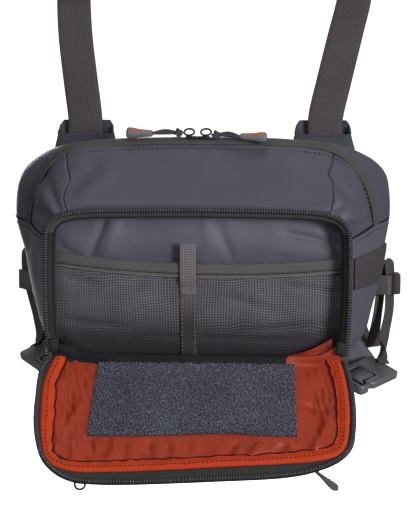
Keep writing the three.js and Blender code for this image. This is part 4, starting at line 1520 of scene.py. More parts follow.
            def relief(u: float, v: float, at: Vector) -> float:
                """Crumpled cloth."""
                crumple = 1.6 * ripple(at, 8, 6.6) + 0.8 * ripple(at, 3.2, 1.7)
                return crumple * math.sin(math.pi * min(1.0, 0.2 + v)) + 0.3
            name = f"pocket_fold_{side}"
            made = cloth(name, [Patch(surface, 50, 18, (40.0, 12.0), self.behind, relief)], 1.0, finish)
            seat(made, "orange" if sign > 0 else "shell", name)
            block = hard_copy(f"zip_end_{side}", 1.4, BLACK)
            seat(block, "coil", f"zip_end_{side}")

    def build(self) -> None:
        """Builds the pocket."""
        self._back()
        self._net()
        self._binding()
        self._strip_stitches()
        self._piping()
        self._webbing()
        self._zip()
        self._folds()


def zip_coil(name: str, stations: Sequence[Station], radius: float) -> bpy.types.Object:
    """A zip half's coil as a row of rounded loops on a core.

    Args:
        name: the piece's name.
        stations: one for each loop.
        radius: the coil's radius.

    Returns:
        The loops' piece.
    """
    size = Vector((0.46, radius * 1.3, radius))
    places = []
    for k, station in enumerate(stations):
        ahead = stations[min(k + 1, len(stations) - 1)].at - stations[max(k - 1, 0)].at
        places.append(pose(station.at + station.up * 0.6 * radius, ahead, station.up, size))
    core = bmesh.new()
    sweep(core, stations, [(a, b + 0.55) for a, b in round_profile(2.2 * radius, 8)])
    seat(piece(f"{name}_core", core, CORE_AND_SHADE_BLACK), "coil")
    return repeat(name, coil_loop, places, COIL)


@dataclass
class Flap:
    """The folded-down front: lining, binding, zip, outer shell, loop patch, ring and pull.

    The rim holds x and the distance from the hinge along the flap's edge, and bound holds the same for the binding's
    outer and inner edge.
    """

    hinge: tuple[float, float] = (-89.6, -61.5)
    slope: float = 46.0
    rim: tuple = (
        (-101.5, 1), (-106.3, 12), (-106.9, 31.7), (-106, 51.2), (-103, 67), (-97.2, 82), (-87, 92.4), (-74.5, 98),
        (-62, 99.2), (-42.8, 99.2), (20.2, 95.4), (61.2, 92), (78.5, 88.2), (96.6, 79.8), (105, 70), (107.4, 55.8),
        (107.6, 40.4), (105.6, 20.2), (101.5, 1),
    )
    lining_level: float = -3.2
    lining_start: float = 0.6
    shell_start: float = 1.2
    tape_pitch: float = 1.6
    coil_pitch: float = 1.8
    coil: float = 1.5
    binding_wide: float = 8.5
    stitch_row: float = 0.45
    fibre_grid: tuple[int, int] = (118, 50)
    bound: tuple = (
        ((-97.6, 1.0), (-88.5, 1.0)), ((-102.4, 20), (-93.5, 19.3)), ((-103.0, 31.2), (-93.2, 33)),
        ((-101.8, 51.5), (-92.0, 52)), ((-99.2, 68.5), (-91.6, 67.6)), ((-93.6, 83.4), (-87.8, 78)),
        ((-78, 90), (-73.6, 82)), ((-51.5, 90.2), (-49, 81)), ((-25.6, 88.8), (-25, 79.6)), ((19.7, 85.2), (19, 76.4)),
        ((58.8, 82.2), (57, 73.2)), ((82, 79.6), (78.6, 70.4)), ((99.4, 73.4), (91.8, 66.4)),
        ((103.2, 60.5), (95.2, 56)), ((104.2, 44), (95.2, 41)), ((103.4, 28), (93.9, 25)),
        ((100, 8.5), (90.4, 7)), ((97.4, 1.0), (87.5, 1.0)),
    )
    puckers: tuple = (
        Crease((-70, -62), (-62, -78), 1.0, 3.0),
        Crease((-52, -64), (-47, -78), -0.9, 2.6),
        Crease((-30, -63), (-24, -78), 1.0, 3.0),
        Crease((-12, -63), (-7, -78), -0.8, 2.6),
        Crease((10, -63), (6, -78), 0.9, 2.6),
        Crease((30, -64), (20, -79), 1.1, 2.8),
        Crease((46, -65), (38, -79), -0.9, 2.6),
        Crease((62, -64), (50, -79), 1.1, 2.8),
        Crease((78, -20), (84, -62), 1.0, 5.0),
        Crease((88, -50), (80, -74), -0.9, 3.2),
        Crease((-88, -24), (-82, -60), 1.0, 5.0),
        Crease((-74, -36), (-86, -58), -0.9, 4.0),
        Crease((72, -34), (90, -40), 0.7, 3.0),
    )

    def __post_init__(self) -> None:
        """Draws the edge in the flap's own plane."""
        self.line = Spline([Vector((x, -s, 0)) for x, s in self.rim])
        edges = zip(*self.bound)
        self.bound_lines = [Spline([Vector((x, -s, 0)) for x, s in edge]) for edge in edges]
        lean = Matrix.Rotation(math.radians(self.slope), 4, "X")
        self.stance = Matrix.Translation((0, *self.hinge)) @ lean
        self.face = (lean @ Vector((0, 0, 1))).normalized()
        self.below = self.stance @ Vector((0, -45, -900))
        self.above = self.stance @ Vector((0, -45, 900))

    def _inward(self, t: float) -> Vector:
        """The direction into the flap at t along its edge."""
        tangent = self.line.tangent(t)
        return Vector((-tangent.y, tangent.x, 0)).normalized()

    def _inset(self, t: float, inset: float, level: float, start: float) -> Vector:
        """A point inside the edge, in the flap's own plane."""
        point = self.line.point(t) + self._inward(t) * inset
        return Vector((point.x, min(point.y, -start), level))

    def _layer(self, rows: tuple, half: float, start: float) -> Surface:
        """A layer of the flap from its hinge to its edge.

        Args:
            rows: v from 0 at the hinge to 1 at the edge, inset and level.
            half: half its width at the hinge.
            start: how far from the hinge it starts.

        Returns:
            Its surface, in the flap's own plane.
        """
        def surface(u: float, v: float) -> Vector:
            """A point of the layer, in the flap's own plane.

            Args:
                u, v: place across and along, 0 to 1.

            Returns:
                The point.
            """
            for k in range(1, len(rows)):
                if rows[k][0] >= v - 1e-9:
                    break
            (v0, inset0, level0), (v1, inset1, level1) = rows[k - 1], rows[k]
            t = (v - v0) / (v1 - v0)
            level = blend(level0, level1, t)
            if k == 1:
                return Vector((half * (2 * u - 1), -start, level)).lerp(self._inset(u, inset1, level, start), t)
            return self._inset(u, blend(inset0, inset1, t), level, start)
        return surface

    def _placed(self, surface: Surface) -> Surface:
        """A surface of the flap's plane in the pack's frame."""
        return lambda u, v: self.stance @ surface(u, v)

    def _stations(self, pitch: float) -> list[Station]:
        """Stations along the coil, in the pack's frame.

        Args:
            pitch: from one to the next.

        Returns:
            The stations.
        """
        turn = self.stance.to_3x3()
        stations = []
        for t in self.line.even(pitch):
            across = self._inward(t)
            at = self.line.point(t) + across * self.coil
            across = across * (1 + 0.45 * across.y ** 2)
            place = self.stance @ Vector((at.x, min(at.y, -0.6), 0))
            stations.append(Station(place, turn @ across, self.face))
        return stations

    def _lining(self) -> None:
        """The ripstop lining with its wrinkles and the puckers along its far edge."""
        back = self.stance.inverted()
        inner = self.bound_lines[1]

        def surface(u: float, v: float) -> Vector:
            """A point of the lining.

            Args:
                u, v: from left to right and from the hinge to the binding, 0 to 1.

            Returns:
                The point.
            """
            end = inner.point(u) + self._bound_out(u) * 3.2
            level = self.lining_level + 1.4 * ease(0.6, 1.0, v) + 1.2 * ease(0.06, 0.0, v)
            start = Vector((88 * (2 * u - 1), -self.lining_start, 0))
            flat = start.lerp(Vector((end.x, min(end.y, -self.lining_start), 0)), v)
            return self.stance @ Vector((flat.x, flat.y, level))

        def relief(u: float, v: float, at: Vector) -> float:
            """Wrinkles, flat under the patch.

            Args:
                u, v: place across and along, 0 to 1; u is not used.
                at: the point before it is moved.

            Returns:
                The height in millimetres.
            """
            flat = back @ at
            loose = min(1.0, ease(66, 76, abs(flat.x)) + ease(60, 67, -flat.y))
            wave = math.sin(flat.x / 2.1 + 2.5 * ripple(at, 20, 2.0)) * ease(62, 76, -flat.y)
            streak = ripple(Vector((flat.x * 0.42 + flat.y * 0.1, flat.y * 0.12, 0)), 1.0, 3.7)
            high = folds(self.puckers, flat.x, flat.y) * 2.1 + 0.8 * ripple(at, 16, 6.1) + 0.8 * streak + 0.65 * wave
            return high * loose * (1 - ease(0.95, 1.0, v))
        patch = Patch(surface, 230, 84, (190.0, 86.0), self.below, relief)
        made = cloth("flap_lining", [patch], 0.9, RIPSTOP)
        weave = made.data.uv_layers.active.data
        for loop in made.data.loops:
            flat = back @ (made.data.vertices[loop.vertex_index].co / MM)
            weave[loop.index].uv = (flat.x, flat.y)
        seat(made, "lining", "flap_lining")

    def _bound_out(self, u: float) -> Vector:
        """The direction from the binding's inner edge to its outer edge, in the flap's plane."""
        return (self.bound_lines[0].point(u) - self.bound_lines[1].point(u)).normalized()

    def _bound_at(self, u: float, v: float) -> Vector:
        """A point of the binding, in the flap's plane.

        Args:
            u: along the edge, 0 to 1.
            v: from its outer edge (0) to its wavy inner edge (1).

        Returns:
            The point.
        """
        outer, inner = (line.point(u) for line in self.bound_lines)
        wavy = 0.9 * ripple(outer, 8, 4.4) + 0.5 * ripple(outer, 3.5, 8.8)
        flat = outer.lerp(inner - self._bound_out(u) * wavy, v)
        level = 0.15 + 0.75 * math.sin(math.pi * min(1.0, 1.25 * v)) - 1.3 * ease(0.45, 1.0, v)
        return Vector((flat.x, min(flat.y, -0.6), level))

    def _binding(self) -> None:
        """The bright binding with its wavy inner edge, a dark cord along it painted as its seam and the shadow where
        the binding stands proud, and a stitch row.
        """
        def relief(u: float, v: float, at: Vector) -> float:
            """Small puckers, a stitch groove and a turned edge."""
            groove = 0.35 * math.exp(-(((v - self.stitch_row) * self.binding_wide / 0.8) ** 2))
            return 0.7 * ripple(at, 4.4, 1.1) * ease(0.3, 0.9, v) - groove - 0.5 * ease(0.12, 0.0, v)
        edge = self._placed(self._bound_at)
        patch = Patch(edge, 300, 14, (self.binding_wide, 330.0), self.below, relief)
        seat(cloth("flap_binding", [patch], 0.9, ORANGE), "orange", "flap_binding")
        # The dark cord is the seam and its painted shadow along the binding's inner edge.
        seam = bmesh.new()
        inner = [edge(k / 240, 1.0) + self.face * 0.1 for k in range(241)]
        sweep(seam, along(inner, self.face, 360), round_profile(1.0, 6))
        seat(piece("flap_seam_shadow", seam, SEAM_SHADOW_LINE), "lining")
        path = [edge(k / 160, self.stitch_row) for k in range(161)]
        rows = stitches(path, [self.face] * len(path), FLAP_STITCH, 0.05)
        seat(repeat("flap_stitches", bead, rows, GREY_THREAD), "orange")

    def _zip(self) -> None:
        """The zip half round the flap."""
        tape = bmesh.new()
        sweep(tape, self._stations(self.tape_pitch), [
            (0.0, -0.9), (3.0, -1.4), (6.0, -1.8), (9.0, -2.2), (9.0, -1.6), (6.0, -1.0), (3.0, -0.3), (0.0, 0.2),
        ])
        seat(piece("flap_zip", tape, FLAP_TAPE), "tape", "flap_zip")
        seat(zip_coil("flap_coil", self._stations(self.coil_pitch), self.coil), "coil")

    def _hinge(self) -> None:
        """The pocket's floor, painted near-black as shade, which runs over the bag's lower edge on to the flap."""
        start = [Vector((0, -69.0, -66.0)), Vector((0, -80.0, -65.0)), Vector((0, -89.6, -60.6))]
        under = [self.stance @ Vector((0, -s, level)) for s, level in ((1.2, -0.7), (2.4, -2.6), (6.0, -4.8))]
        over = [self.stance @ Vector((0, -s, level)) for s, level in ((1.4, 0.6), (3.4, -0.2), (5.0, -1.9))]
        lines = [Spline([*start, *end]) for end in (under, over)]

        def surface(u: float, v: float) -> Vector:
            """A point of the floor, which reaches further over the flap between the folds.

            Args:
                u, v: from left to right and from the pocket's back to the flap, 0 to 1.

            Returns:
                The point.
            """
            ahead = ease(0.05, 0.5, v)
            x = blend(-99, 100, u) * blend(0.88, 1.0, ahead)
            at = lines[1].point(v).lerp(lines[0].point(v), ease(54, 80, abs(x)))
            curl = 6.0 * ease(82, 97, abs(x)) * ease(0.98, 0.8, v)
            return Vector((x, at.y, at.z + 6.0 * (1 - ahead) * ease(50, 95, abs(x)) + curl))

        def relief(u: float, v: float, at: Vector) -> float:
            """Crumpled cloth."""
            return 0.5 * ripple(at, 9, 7.1) * math.sin(math.pi * v)
        below = Vector((0, -60, -900))
        made = cloth("pocket_floor", [Patch(surface, 220, 40, (195.0, 42.0), below, relief)], 0.8, SHADED_FLOOR, RIPSTOP)
        # Faces where the orange lining shows take the ripstop; the rest keep the floor's painted shade.
        for polygon in made.data.polygons:
            x, y, _ = polygon.center / MM
            right = x > 61 + 1.3 * max(0.0, y + 91)
            left = y < -90.8 and x < -(59 + 7.5 * max(0.0, y + 93.2))
            polygon.material_index = int(right or left)
        seat(made, "shell")

    def _shell(self) -> None:
        """The outer wall under the flap."""
        rows = ((0, 60, -10.1), (0.6, 20, -12.0), (0.8, 8.5, -9.6), (1, 2.4, -1.55))
        layer = self._layer(rows, 60, self.shell_start)

        def rounded(u: float, v: float) -> Vector:
            """The layer with its corner softened."""
            near, far = layer(u, max(0.0, v - 0.03)), layer(u, min(1.0, v + 0.03))
            return self.stance @ ((near + layer(u, v) + far) / 3)

        def relief(u: float, v: float, at: Vector) -> float:
            """Soft unevenness."""
            return 0.5 * ripple(at, 26, 5.2) * (1 - ease(0.8, 1.0, v))
        made = cloth("flap_shell", [Patch(rounded, 150, 56, (215.0, 100.0), self.above, relief)], 1.4, SHELL)
        seat(made, "shell", "flap_shell")

    def _patch(self) -> None:
        """The loop patch: a thick felted base and a pile of short fibres."""
        corners = ((-67.0, 4.6), (66.6, 2.6), (69.6, 60.4), (-69.2, 62.0))
        top = self.lining_level + 1.9

        def flat(u: float, v: float) -> Vector:
            """A point of the patch in the flap's own plane.

            Args:
                u, v: from left to right and from the hinge outwards, 0 to 1.

            Returns:
                The point.
            """
            near = Vector(corners[0]).lerp(Vector(corners[1]), u)
            far = Vector(corners[3]).lerp(Vector(corners[2]), u)
            place = near.lerp(far, v)
            wave = 2.2 * math.exp(-(((u - 0.62) / 0.2) ** 2)) * v
            return Vector((place.x, -(place.y - wave), top))

        def relief(u: float, v: float, at: Vector) -> float:
            """Felted unevenness."""
            return 0.25 * ripple(at, 2.4, 4.0) + 0.2 * ripple(at, 1.1, 2.0)
        tuck, roll = (0.7, 0.7, 0.7, 0.7), (1.2, 1.2)
        patch = Patch(self._placed(flat), 150, 64, (137.0, 56.0), self.below, relief, tuck, roll)
        made = cloth("loop_patch", [patch], 1.5, PILE)
        seat(made, "patch", "loop_patch")
        rng = random.Random(5)
        turn = self.stance.to_3x3()
        places = []
        columns, rows = self.fibre_grid
        for i in range(columns):
            for j in range(rows):
                at = self.stance @ flat((i + rng.random()) / columns, (j + rng.random()) / rows)
                lean = turn @ Vector((rng.uniform(-1, 1), rng.uniform(-1, 1), 0.75))
                side = lean.orthogonal()
                size = Vector((rng.uniform(0.6, 1.0), 0.26, 0.26))
                places.append(pose(at + lean.normalized() * 0.35, lean, side, size))
        seat(repeat("loop_fibres", fibre, places, FUZZ), "patch")

    def _fittings(self) -> None:
        """The wire ring and the ribbed pull at the far edge."""
        lean = self.stance @ Matrix.Translation((-70.5, -98.6, -1.6)) @ Matrix.Rotation(0.4, 4, "X")
        seat(wire_ring("flap_ring", 3.4, 0.8, lean), "metal", "flap_ring")
        pull = bmesh.new()
        stations = []
        stance = self.stance @ Matrix.Translation((79.5, -83.2, -3.4)) @ Matrix.Rotation(math.pi + 0.82, 4, "Z")
        turn = stance.to_3x3()
        for k in range(35):
            t = k / 34
            width = blend(0.34, 0.86, ease(0.2, 0.85, t)) * (1 - 0.6 * ease(0.9, 1.0, t) ** 2)
            rib = 1 + (0.1 if k % 4 < 2 and 6 < k < 30 else 0.0)
            across, up = turn @ Vector((width * rib, 0, 0)), turn @ Vector((0, 0, rib))
            stations.append(Station(stance @ Vector((0, 22 * t, 0)), across, up))
        sweep(pull, stations, [(a * 3.0, b * 1.25) for a, b in round_profile(2.0, 12)])
        seat(piece("flap_pull", pull, DARK_RUBBER), "rubber", "flap_pull")

    def build(self) -> None:
        """Builds the flap."""
        self._lining()
        self._binding()
        self._zip()
        self._hinge()
        self._shell()
        self._patch()
        self._fittings()


def wire_ring(name: str, radius: float, wire: float, stance: Matrix) -> bpy.types.Object:
    """A closed ring of wire, turned from one round section.

    Args:
        name: the piece's name.
        radius: to the middle of the wire.
        wire: the wire's radius.
        stance: where it goes; it lies flat in x and y.

    Returns:
        The piece.
    """
    ring = bmesh.new()
    side = Matrix.Translation((radius, 0, 0)) @ Matrix.Rotation(math.radians(90), 4, "X")
    made = bmesh.ops.create_circle(ring, cap_ends=False, segments=10, radius=wire, matrix=side)
    edges = list({e for v in made["verts"] for e in v.link_edges})
    bmesh.ops.spin(ring, geom=[*made["verts"], *edges], cent=(0, 0, 0), axis=(0, 0, 1), angle=2 * math.pi, steps=32,
                   use_merge=True)
    bmesh.ops.remove_doubles(ring, verts=ring.verts, dist=1e-4)
    bmesh.ops.recalc_face_normals(ring, faces=ring.faces)
    bmesh.ops.transform(ring, matrix=stance, verts=ring.verts)
    for face in ring.faces:
        face.smooth = True
    return piece(name, ring, METAL)


@dataclass
class Pull:
    """One slider with its ring, knotted cord and rubber tab.

    It holds x of the ring, the knot and the tab, y and z of the tab, and the tab's lean. The swells give the place
    along the tab and its thickness there, and the wedge is the tab's section.
    """

    name: str
    sign: int
    ring: float
    knot: float
    tab: float
    y: float
    z: float
    lean: float
    top: Vector = field(default_factory=lambda: Vector((0, -46.0, 83.7)))
    swells: tuple = (
        (-9.4, 0.5), (-8.6, 0.72), (-6.0, 0.8), (0.0, 0.95), (5.0, 1.24), (7.6, 1.28), (8.8, 1.06), (9.3, 0.7),
    )
    wedge: tuple = (
        (-2.6, -1.6), (-1.4, -2.8), (1.4, -2.8), (2.6, -1.6), (2.9, 0.6), (1.6, 2.3), (-1.6, 2.9), (-2.9, 0.9),
    )
    droop: float = 20.0

    def _knot(self, tube: bmesh.types.BMesh, at: Vector) -> None:
        """Adds a knot of three crossing turns.

        Args:
            tube: the cord's mesh.
            at: the knot's middle.
        """
        angles = [k / 12 * 2 * math.pi for k in range(13)]
        for turn, axis in ((0.35, "X"), (1.4, "Y"), (0.9, "Z")):
            spin = Matrix.Rotation(turn, 3, axis)
            loop = [Vector((math.cos(a) * 2.5, math.sin(a) * 2.2, 0.7 * math.sin(2 * a))) for a in angles]
            sweep(tube, along([at + spin @ p for p in loop], spin @ Vector((0.2, 0.1, 1)), 26), round_profile(1.9))

    def _cord(self) -> None:
        """The knot and the two strands that run from it to the tab."""
        tube = bmesh.new()
        start = Vector((self.knot, self.top.y - 2, self.z))
        reach = self.tab - self.sign * 8.6
        self._knot(tube, start)
        for offset in (-1.2, 1.2):
            points = [
                start + Vector((0, offset * 0.4, 0)),
                Vector(((self.knot + reach) / 2, (self.top.y + self.y) / 2 + offset, self.z + 0.6 + 0.8 * offset)),
                Vector((reach, self.y + offset * 0.7, self.z - self.lean * self.droop)),
            ]
            sweep(tube, along(points, UP, 20), round_profile(2.0))
        seat(piece(f"pull_cord_{self.name}", tube, BRAID), "cord", f"pull_cord_{self.name}")

    def _tab(self) -> None:
        """A rubber wedge with a bright inlay along its upper facet."""
        centre = Vector((self.tab, self.y, self.z))
        low = centre - UP * (self.lean * self.droop)
        tilt = Matrix.Rotation(-0.3, 3, "X")
        turn = Matrix.Rotation(self.lean, 3, "Y")
        if self.sign < 0:
            turn = turn @ Matrix.Rotation(math.pi, 3, "Z")
        stations = []
        for along_x, swell in self.swells:
            across = turn @ (tilt @ Vector((0, swell, 0)))
            up = turn @ (tilt @ Vector((0, 0, swell)))
            stations.append(Station(low + turn @ Vector((along_x, 0, 0)), across, up))
        body = bmesh.new()
        sweep(body, stations, self.wedge)
        round_edges(body, list(body.edges), 0.22)
        made = piece(f"pull_tab_{self.name}", body, RUBBER, INLAY)
        for polygon in made.data.polygons:
            aim = polygon.normal
            place = polygon.center / MM - centre
            upper = aim.z > 0.55 and aim.y < 0.25 and polygon.area > 2e-6
            polygon.material_index = int(upper and abs(place.x) < 7.0)
        seat(made, "rubber", f"pull_tab_{self.name}")

    def build(self) -> None:
        """Builds the pull."""
        slider = f"top_slider_{self.name}"
        seat(hard_copy(slider, 0.5, METAL), "metal", slider)
        at = Matrix.Translation((self.ring, self.top.y - 1, self.top.z + 5.4))
        ring = wire_ring(f"pull_ring_{self.name}", 3.6, 0.75, at @ Matrix.Rotation(0.62, 4, "X"))
        seat(ring, "metal", f"pull_ring_{self.name}")
        self._cord()
        self._tab()


@dataclass
class TopPulls:
    """The top zip's two pulls."""

    left: Pull = field(default_factory=lambda: Pull("left", -1, -8.2, -15.8, -42.9, -48.0, 88.6, 0.02))
    right: Pull = field(default_factory=lambda: Pull("right", 1, 3.4, 10.5, 36.8, -54.5, 87.2, 0.06))

    def build(self) -> None:
        """Builds both pulls."""
        self.left.build()
        self.right.build()


@dataclass
class BuckleSeat:
    """Where a buckle lies: its start, axis, outward face and breadth, and how its solid is moved there."""

    start: Vector
    axis: Vector
    face: Vector
    breadth: Vector
    move: Matrix


@dataclass
class Side:
    """One side of the harness, in millimetres.

    The adjuster holds its middle and points above and below it. The front strap runs from the sleeve up to it. The
    rear strap runs over the shoulder, round its foot, up its inner run to the tip in the keeper and down its outer
    run. The buckle holds its start, its end and its outward direction; the lift moves it, and the turn swings the
    rear strap and its keeper.
    """

    name: str
    sign: int
    adjuster: tuple
    front: tuple
    rear: tuple
    foot: tuple
    inner: tuple
    tip: tuple
    outer: tuple
    buckle: tuple
    corner: tuple
    lift: tuple
    turn: float
    sleeve: float
    shoulder_web: float = 25.0
    rear_web: float = 20.0
    web: float = 1.5
    buckle_long: float = 44.0
    roll: float = -14.0
    foot_turn: tuple = ((1, 0.15), (0.85, 0.5), (0.6, 0.8), (0.4, 0.92))
    tip_turn: tuple = ((-3, 0.6, -5.5), (-2.4, 0.4, -1.8), (0, 0, 0), (2.4, -0.4, -1.8), (3, -0.6, -5.5))
    tip_depth: float = 14.6
    keeper_height: float = -23.0
    inner_run: tuple = ((16.4, -42), (15.6, -24))
    front_thread: tuple = ((3.5, -19), (3.5, -12.6), (3.2, -10.6), (0, -6.5), (-3.2, -2.4), (-3.5, 2.5))
    rear_thread: tuple = ((3.5, -2.5), (3.2, 2.4), (0, 6.5), (-3.2, 10.6), (-3.5, 12.6))

    def _sleeve(self) -> None:
        """A cloth tunnel over the strap's foot, with a slanted mouth."""
        middle = self.sleeve

        def surface(u: float, v: float) -> Vector:
            """A point of the tunnel.

            Args:
                u, v: round the tunnel and from its foot to its mouth, 0 to 1.

            Returns:
                The point.
            """
            angle = 2 * math.pi * u
            c, s = math.cos(angle), math.sin(angle)
            power = 0.42
            x = math.copysign(abs(c) ** power, c)
            y = math.copysign(abs(s) ** power, s)
            depth = 5.5 * y
            top = blend(86.2, 96.0, ease(-0.9, 0.9, y)) - 2.6 * ease(0.86, 1.0, abs(x)) * (y > 0)
            z = blend(68.0, top, v)
            width = blend(24.0, 19.0, ease(66, 96, z))
            return Vector((middle + width * x, -5.9 + depth, z))

        def relief(u: float, v: float, at: Vector) -> float:
            """A rolled lip and soft unevenness."""
            return 0.5 * ease(0.9, 0.96, v) + 0.35 * ripple(at, 9, 2.9)
        centre = Vector((middle, -5.9, 80))
        tunnel = Patch(surface, 96, 26, (110.0, 24.0), centre, relief, closed=True)
        made = cloth(f"strap_sleeve_{self.name}", [tunnel], 1.4, SLEEVE_CLOTH)
        seat(made, "sleeve", f"strap_sleeve_{self.name}")

    def strap(self, name: str, rows: Sequence[tuple[Vector, Vector]], width: float, steps: int,
              pinch: float = 0.0) -> None:
        """One length of webbing.

        Args:
            name: the piece's name.
            rows: its centre and its width's direction at each place.
            width: its width.
            steps: how many lengths it has.
            pinch: the share of its width by which its end is drawn in.
        """
        band = bmesh.new()
        stations = ribbon(rows, steps)
        for k, station in enumerate(stations):
            station.across *= 1 - pinch * ease(0.955, 0.985, k / steps)
        sweep(band, stations, strip_profile(width, self.web))
        seat(piece(name, band, WEBBING), "webbing", name)

    def _buckle(self) -> BuckleSeat:
        """Works out where the buckle lies.

        Returns:
            Its seat.
        """
        start, end, face = (Vector(p) for p in self.buckle)
        axis = (end - start).normalized()
        roll = Matrix.Rotation(math.radians(self.roll) * self.sign, 4, axis)
        move = Matrix.Translation(Vector(self.lift) + start) @ roll @ Matrix.Translation(-start)
        face = roll @ (face - axis * face.dot(axis)).normalized()
        return BuckleSeat(move @ start, axis, face, face.cross(axis), move)

    def _threaded(self, rows: tuple) -> list[Vector]:
        """A strap's way through its adjuster.

        Args:
            rows: places behind and above the adjuster's middle.

        Returns:
            The points.
        """
        at, above, low = (Vector(p) for p in self.adjuster)
        up = (above - low).normalized()
        across = (ACROSS - up * ACROSS.dot(up)).normalized()
        back = up.cross(across)
        return [at + up * high + back * behind for behind, high in rows]

    def _shoulder(self) -> None:
        """The strap from the sleeve to the adjuster."""
        points = [*(Vector(p) for p in self.front), *self._threaded(self.front_thread)]
        self.strap(f"shoulder_strap_{self.name}", [(p, ACROSS) for p in points], self.shoulder_web, 120)

    def _rear(self, buckle: BuckleSeat, turn: Matrix) -> None:
        """The strap from the adjuster over the shoulder and through the keeper to the buckle.

        Args:
            buckle: where the buckle lies.
            turn: how the strap is swung at its keeper.
        """
        sign, wide = self.sign, ACROSS * self.sign
        tilt = turn @ Vector((sign * 0.33, 0.94, 0))
        ended = buckle.breadth * (-1 if tilt.dot(buckle.breadth) < 0 else 1)
        tip_x, tip_z = self.tip
        rows = [(p, wide) for p in self._threaded(self.rear_thread)]
        rows += [(Vector(p), wide) for p in self.rear]
        rows += [(Vector(p), Vector((sign * a, b, 0))) for p, (a, b) in zip(self.foot, self.foot_turn)]
        rows += [(Vector((x, y, z)), tilt) for x, (y, z) in zip(self.inner, self.inner_run)]
        for x, y, z in self.tip_turn:
            rows.append((Vector((tip_x + sign * x, self.tip_depth + y, tip_z + z)), tilt))
        for k, p in enumerate(self.outer):
            rows.append((Vector(p), tilt.lerp(ended, max(0.0, (k - 2) / 2.6) ** 3)))
        rows.append((buckle.start + buckle.axis * (self.buckle_long - 2.0) + buckle.face * 3.6, ended))
        self.strap(f"rear_strap_{self.name}", rows, self.rear_web, 330, 0.55)

    def _corner(self, buckle: BuckleSeat) -> None:
        """The short webbing from the bag's corner into the buckle.

        Args:
            buckle: where the buckle lies.
        """
        corner, flat = Vector(self.corner), Vector((0, self.sign, 0))
        hang = buckle.breadth * (1 if self.sign * buckle.breadth.y > 0 else -1)
        rows = [
            (corner + Vector((-9 * self.sign, 1, 11)), flat),
            (corner, flat.lerp(hang, 0.6)),
            (buckle.start + buckle.axis * 1.6 + buckle.face * 0.6, hang),
        ]
        self.strap(f"corner_webbing_{self.name}", rows, self.rear_web, 24)

    def _fittings(self, buckle: BuckleSeat, turn: Matrix) -> None:
        """The adjuster, the keeper and the buckle's prong.

        Args:
            buckle: where the buckle lies.
            turn: how the keeper is swung.
        """
        hub = Vector((self.tip[0], self.tip_depth, self.keeper_height))
        twist = Matrix.Translation(hub) @ turn @ Matrix.Translation(-hub)
        for kind, offset, finish, slot, move in (
            ("strap_adjuster", 0.8, PLASTIC, "plastic", Matrix.Identity(4)),
            ("strap_keeper", 0.6, KEEPER, "binding", twist),
            ("buckle_prong", 1.0, PLASTIC, "plastic", buckle.move),
        ):
            name = f"{kind}_{self.name}"
            seat(hard_copy(name, offset, finish, move), slot, name)

    def _socket(self, buckle: BuckleSeat) -> None:
        """The buckle's socket with a sunk panel on each face, ringed by a groove painted black as the shade of its
        slots.

        Args:
            buckle: where the buckle lies.
        """
        name = f"buckle_socket_{self.name}"
        body = softened(name, 0.9, buckle.move)
        flats = [f for f in body.faces if abs(f.normal.dot(buckle.face)) > 0.99 and f.calc_area() > 150]
        bmesh.ops.inset_individual(body, faces=flats, thickness=1.8, depth=0.0)
        groove = bmesh.ops.inset_individual(body, faces=flats, thickness=0.4, depth=-1.0)["faces"]
        groove += bmesh.ops.inset_individual(body, faces=flats, thickness=1.6, depth=0.0)["faces"]
        bmesh.ops.inset_individual(body, faces=flats, thickness=0.5, depth=1.2)
        # The groove is painted black as shade.
        for face in groove:
            face.material_index = 1
        seat(hard_piece(name, body, PLASTIC, BLACK), "plastic", name)

    def build(self) -> None:
        """Builds the side's straps and fittings."""
        buckle = self._buckle()
        turn = Matrix.Rotation(math.radians(self.turn), 4, "Z")
        self._sleeve()
        self._shoulder()
        self._rear(buckle, turn)
        self._corner(buckle)
        self._fittings(buckle, turn)
        self._socket(buckle)


LEFT = Side(
    "left", -1,
    ((-100.4, 29, 195.5), (-104, 52, 230), (-98.6, 18, 178)),
    ((-87, -6.2, 82), (-87, -6.2, 97), (-90.5, -2, 122), (-95.6, 8, 155)),
    ((-106, 60, 238), (-110, 84, 254), (-113, 106, 241), (-113.4, 115, 212), (-112.6, 116, 186),
     (-108.6, 116, 140), (-104.4, 115, 95), (-103, 110, 50), (-104, 97, 8), (-107, 76, -31)),
    ((-110.5, 55, -55), (-114, 38, -67.5), (-117, 25.5, -66.5), (-119.6, 18.8, -55)),
    (-124.6, -127.4), (-131.6, -1.5),
    ((-133.8, 13.4, -22), (-129.6, 12, -38), (-125.4, 9, -52), (-122.6, 3.6, -62), (-122.4, -5, -68.4)),
    ((-99, -46, -84), (-126, -16, -74), (-0.1, -0.7, 0.7)),
    (-92, -57, -73.6),
    (2.6, 0, 3.4),
    15.0,
    -86.5,
)
RIGHT = Side(
    "right", 1,
    ((108, 31, 199), (111.5, 54, 232), (106, 22, 184)),
    ((86.3, -6.2, 82), (86.3, -6.2, 97), (92.2, -2, 124), (100.4, 9, 158)),
    ((112.5, 62, 242), (112.8, 86, 257), (111.6, 107, 243), (110, 115, 214), (108, 116, 186),
     (97.5, 116, 140), (88.4, 115, 95), (88, 110, 50), (92, 97, 8), (100, 76, -33)),
    ((108, 55, -58), (116, 38, -73), (121.6, 25.5, -73), (124.2, 18.8, -60)),
    (126.8, 128.4), (131.5, -7.5),
    ((134.6, 13.4, -24), (134.4, 11.6, -43), (131.6, 6, -58), (129, -2, -68.5), (127.4, -9.4, -74.4)),
    ((103.5, -49, -90), (130.5, -16, -84), (0.1, -0.7, 0.7)),
    (95, -57, -73),
    (-0.8, 0, 3.2),
    0.0,
    84.6,
)


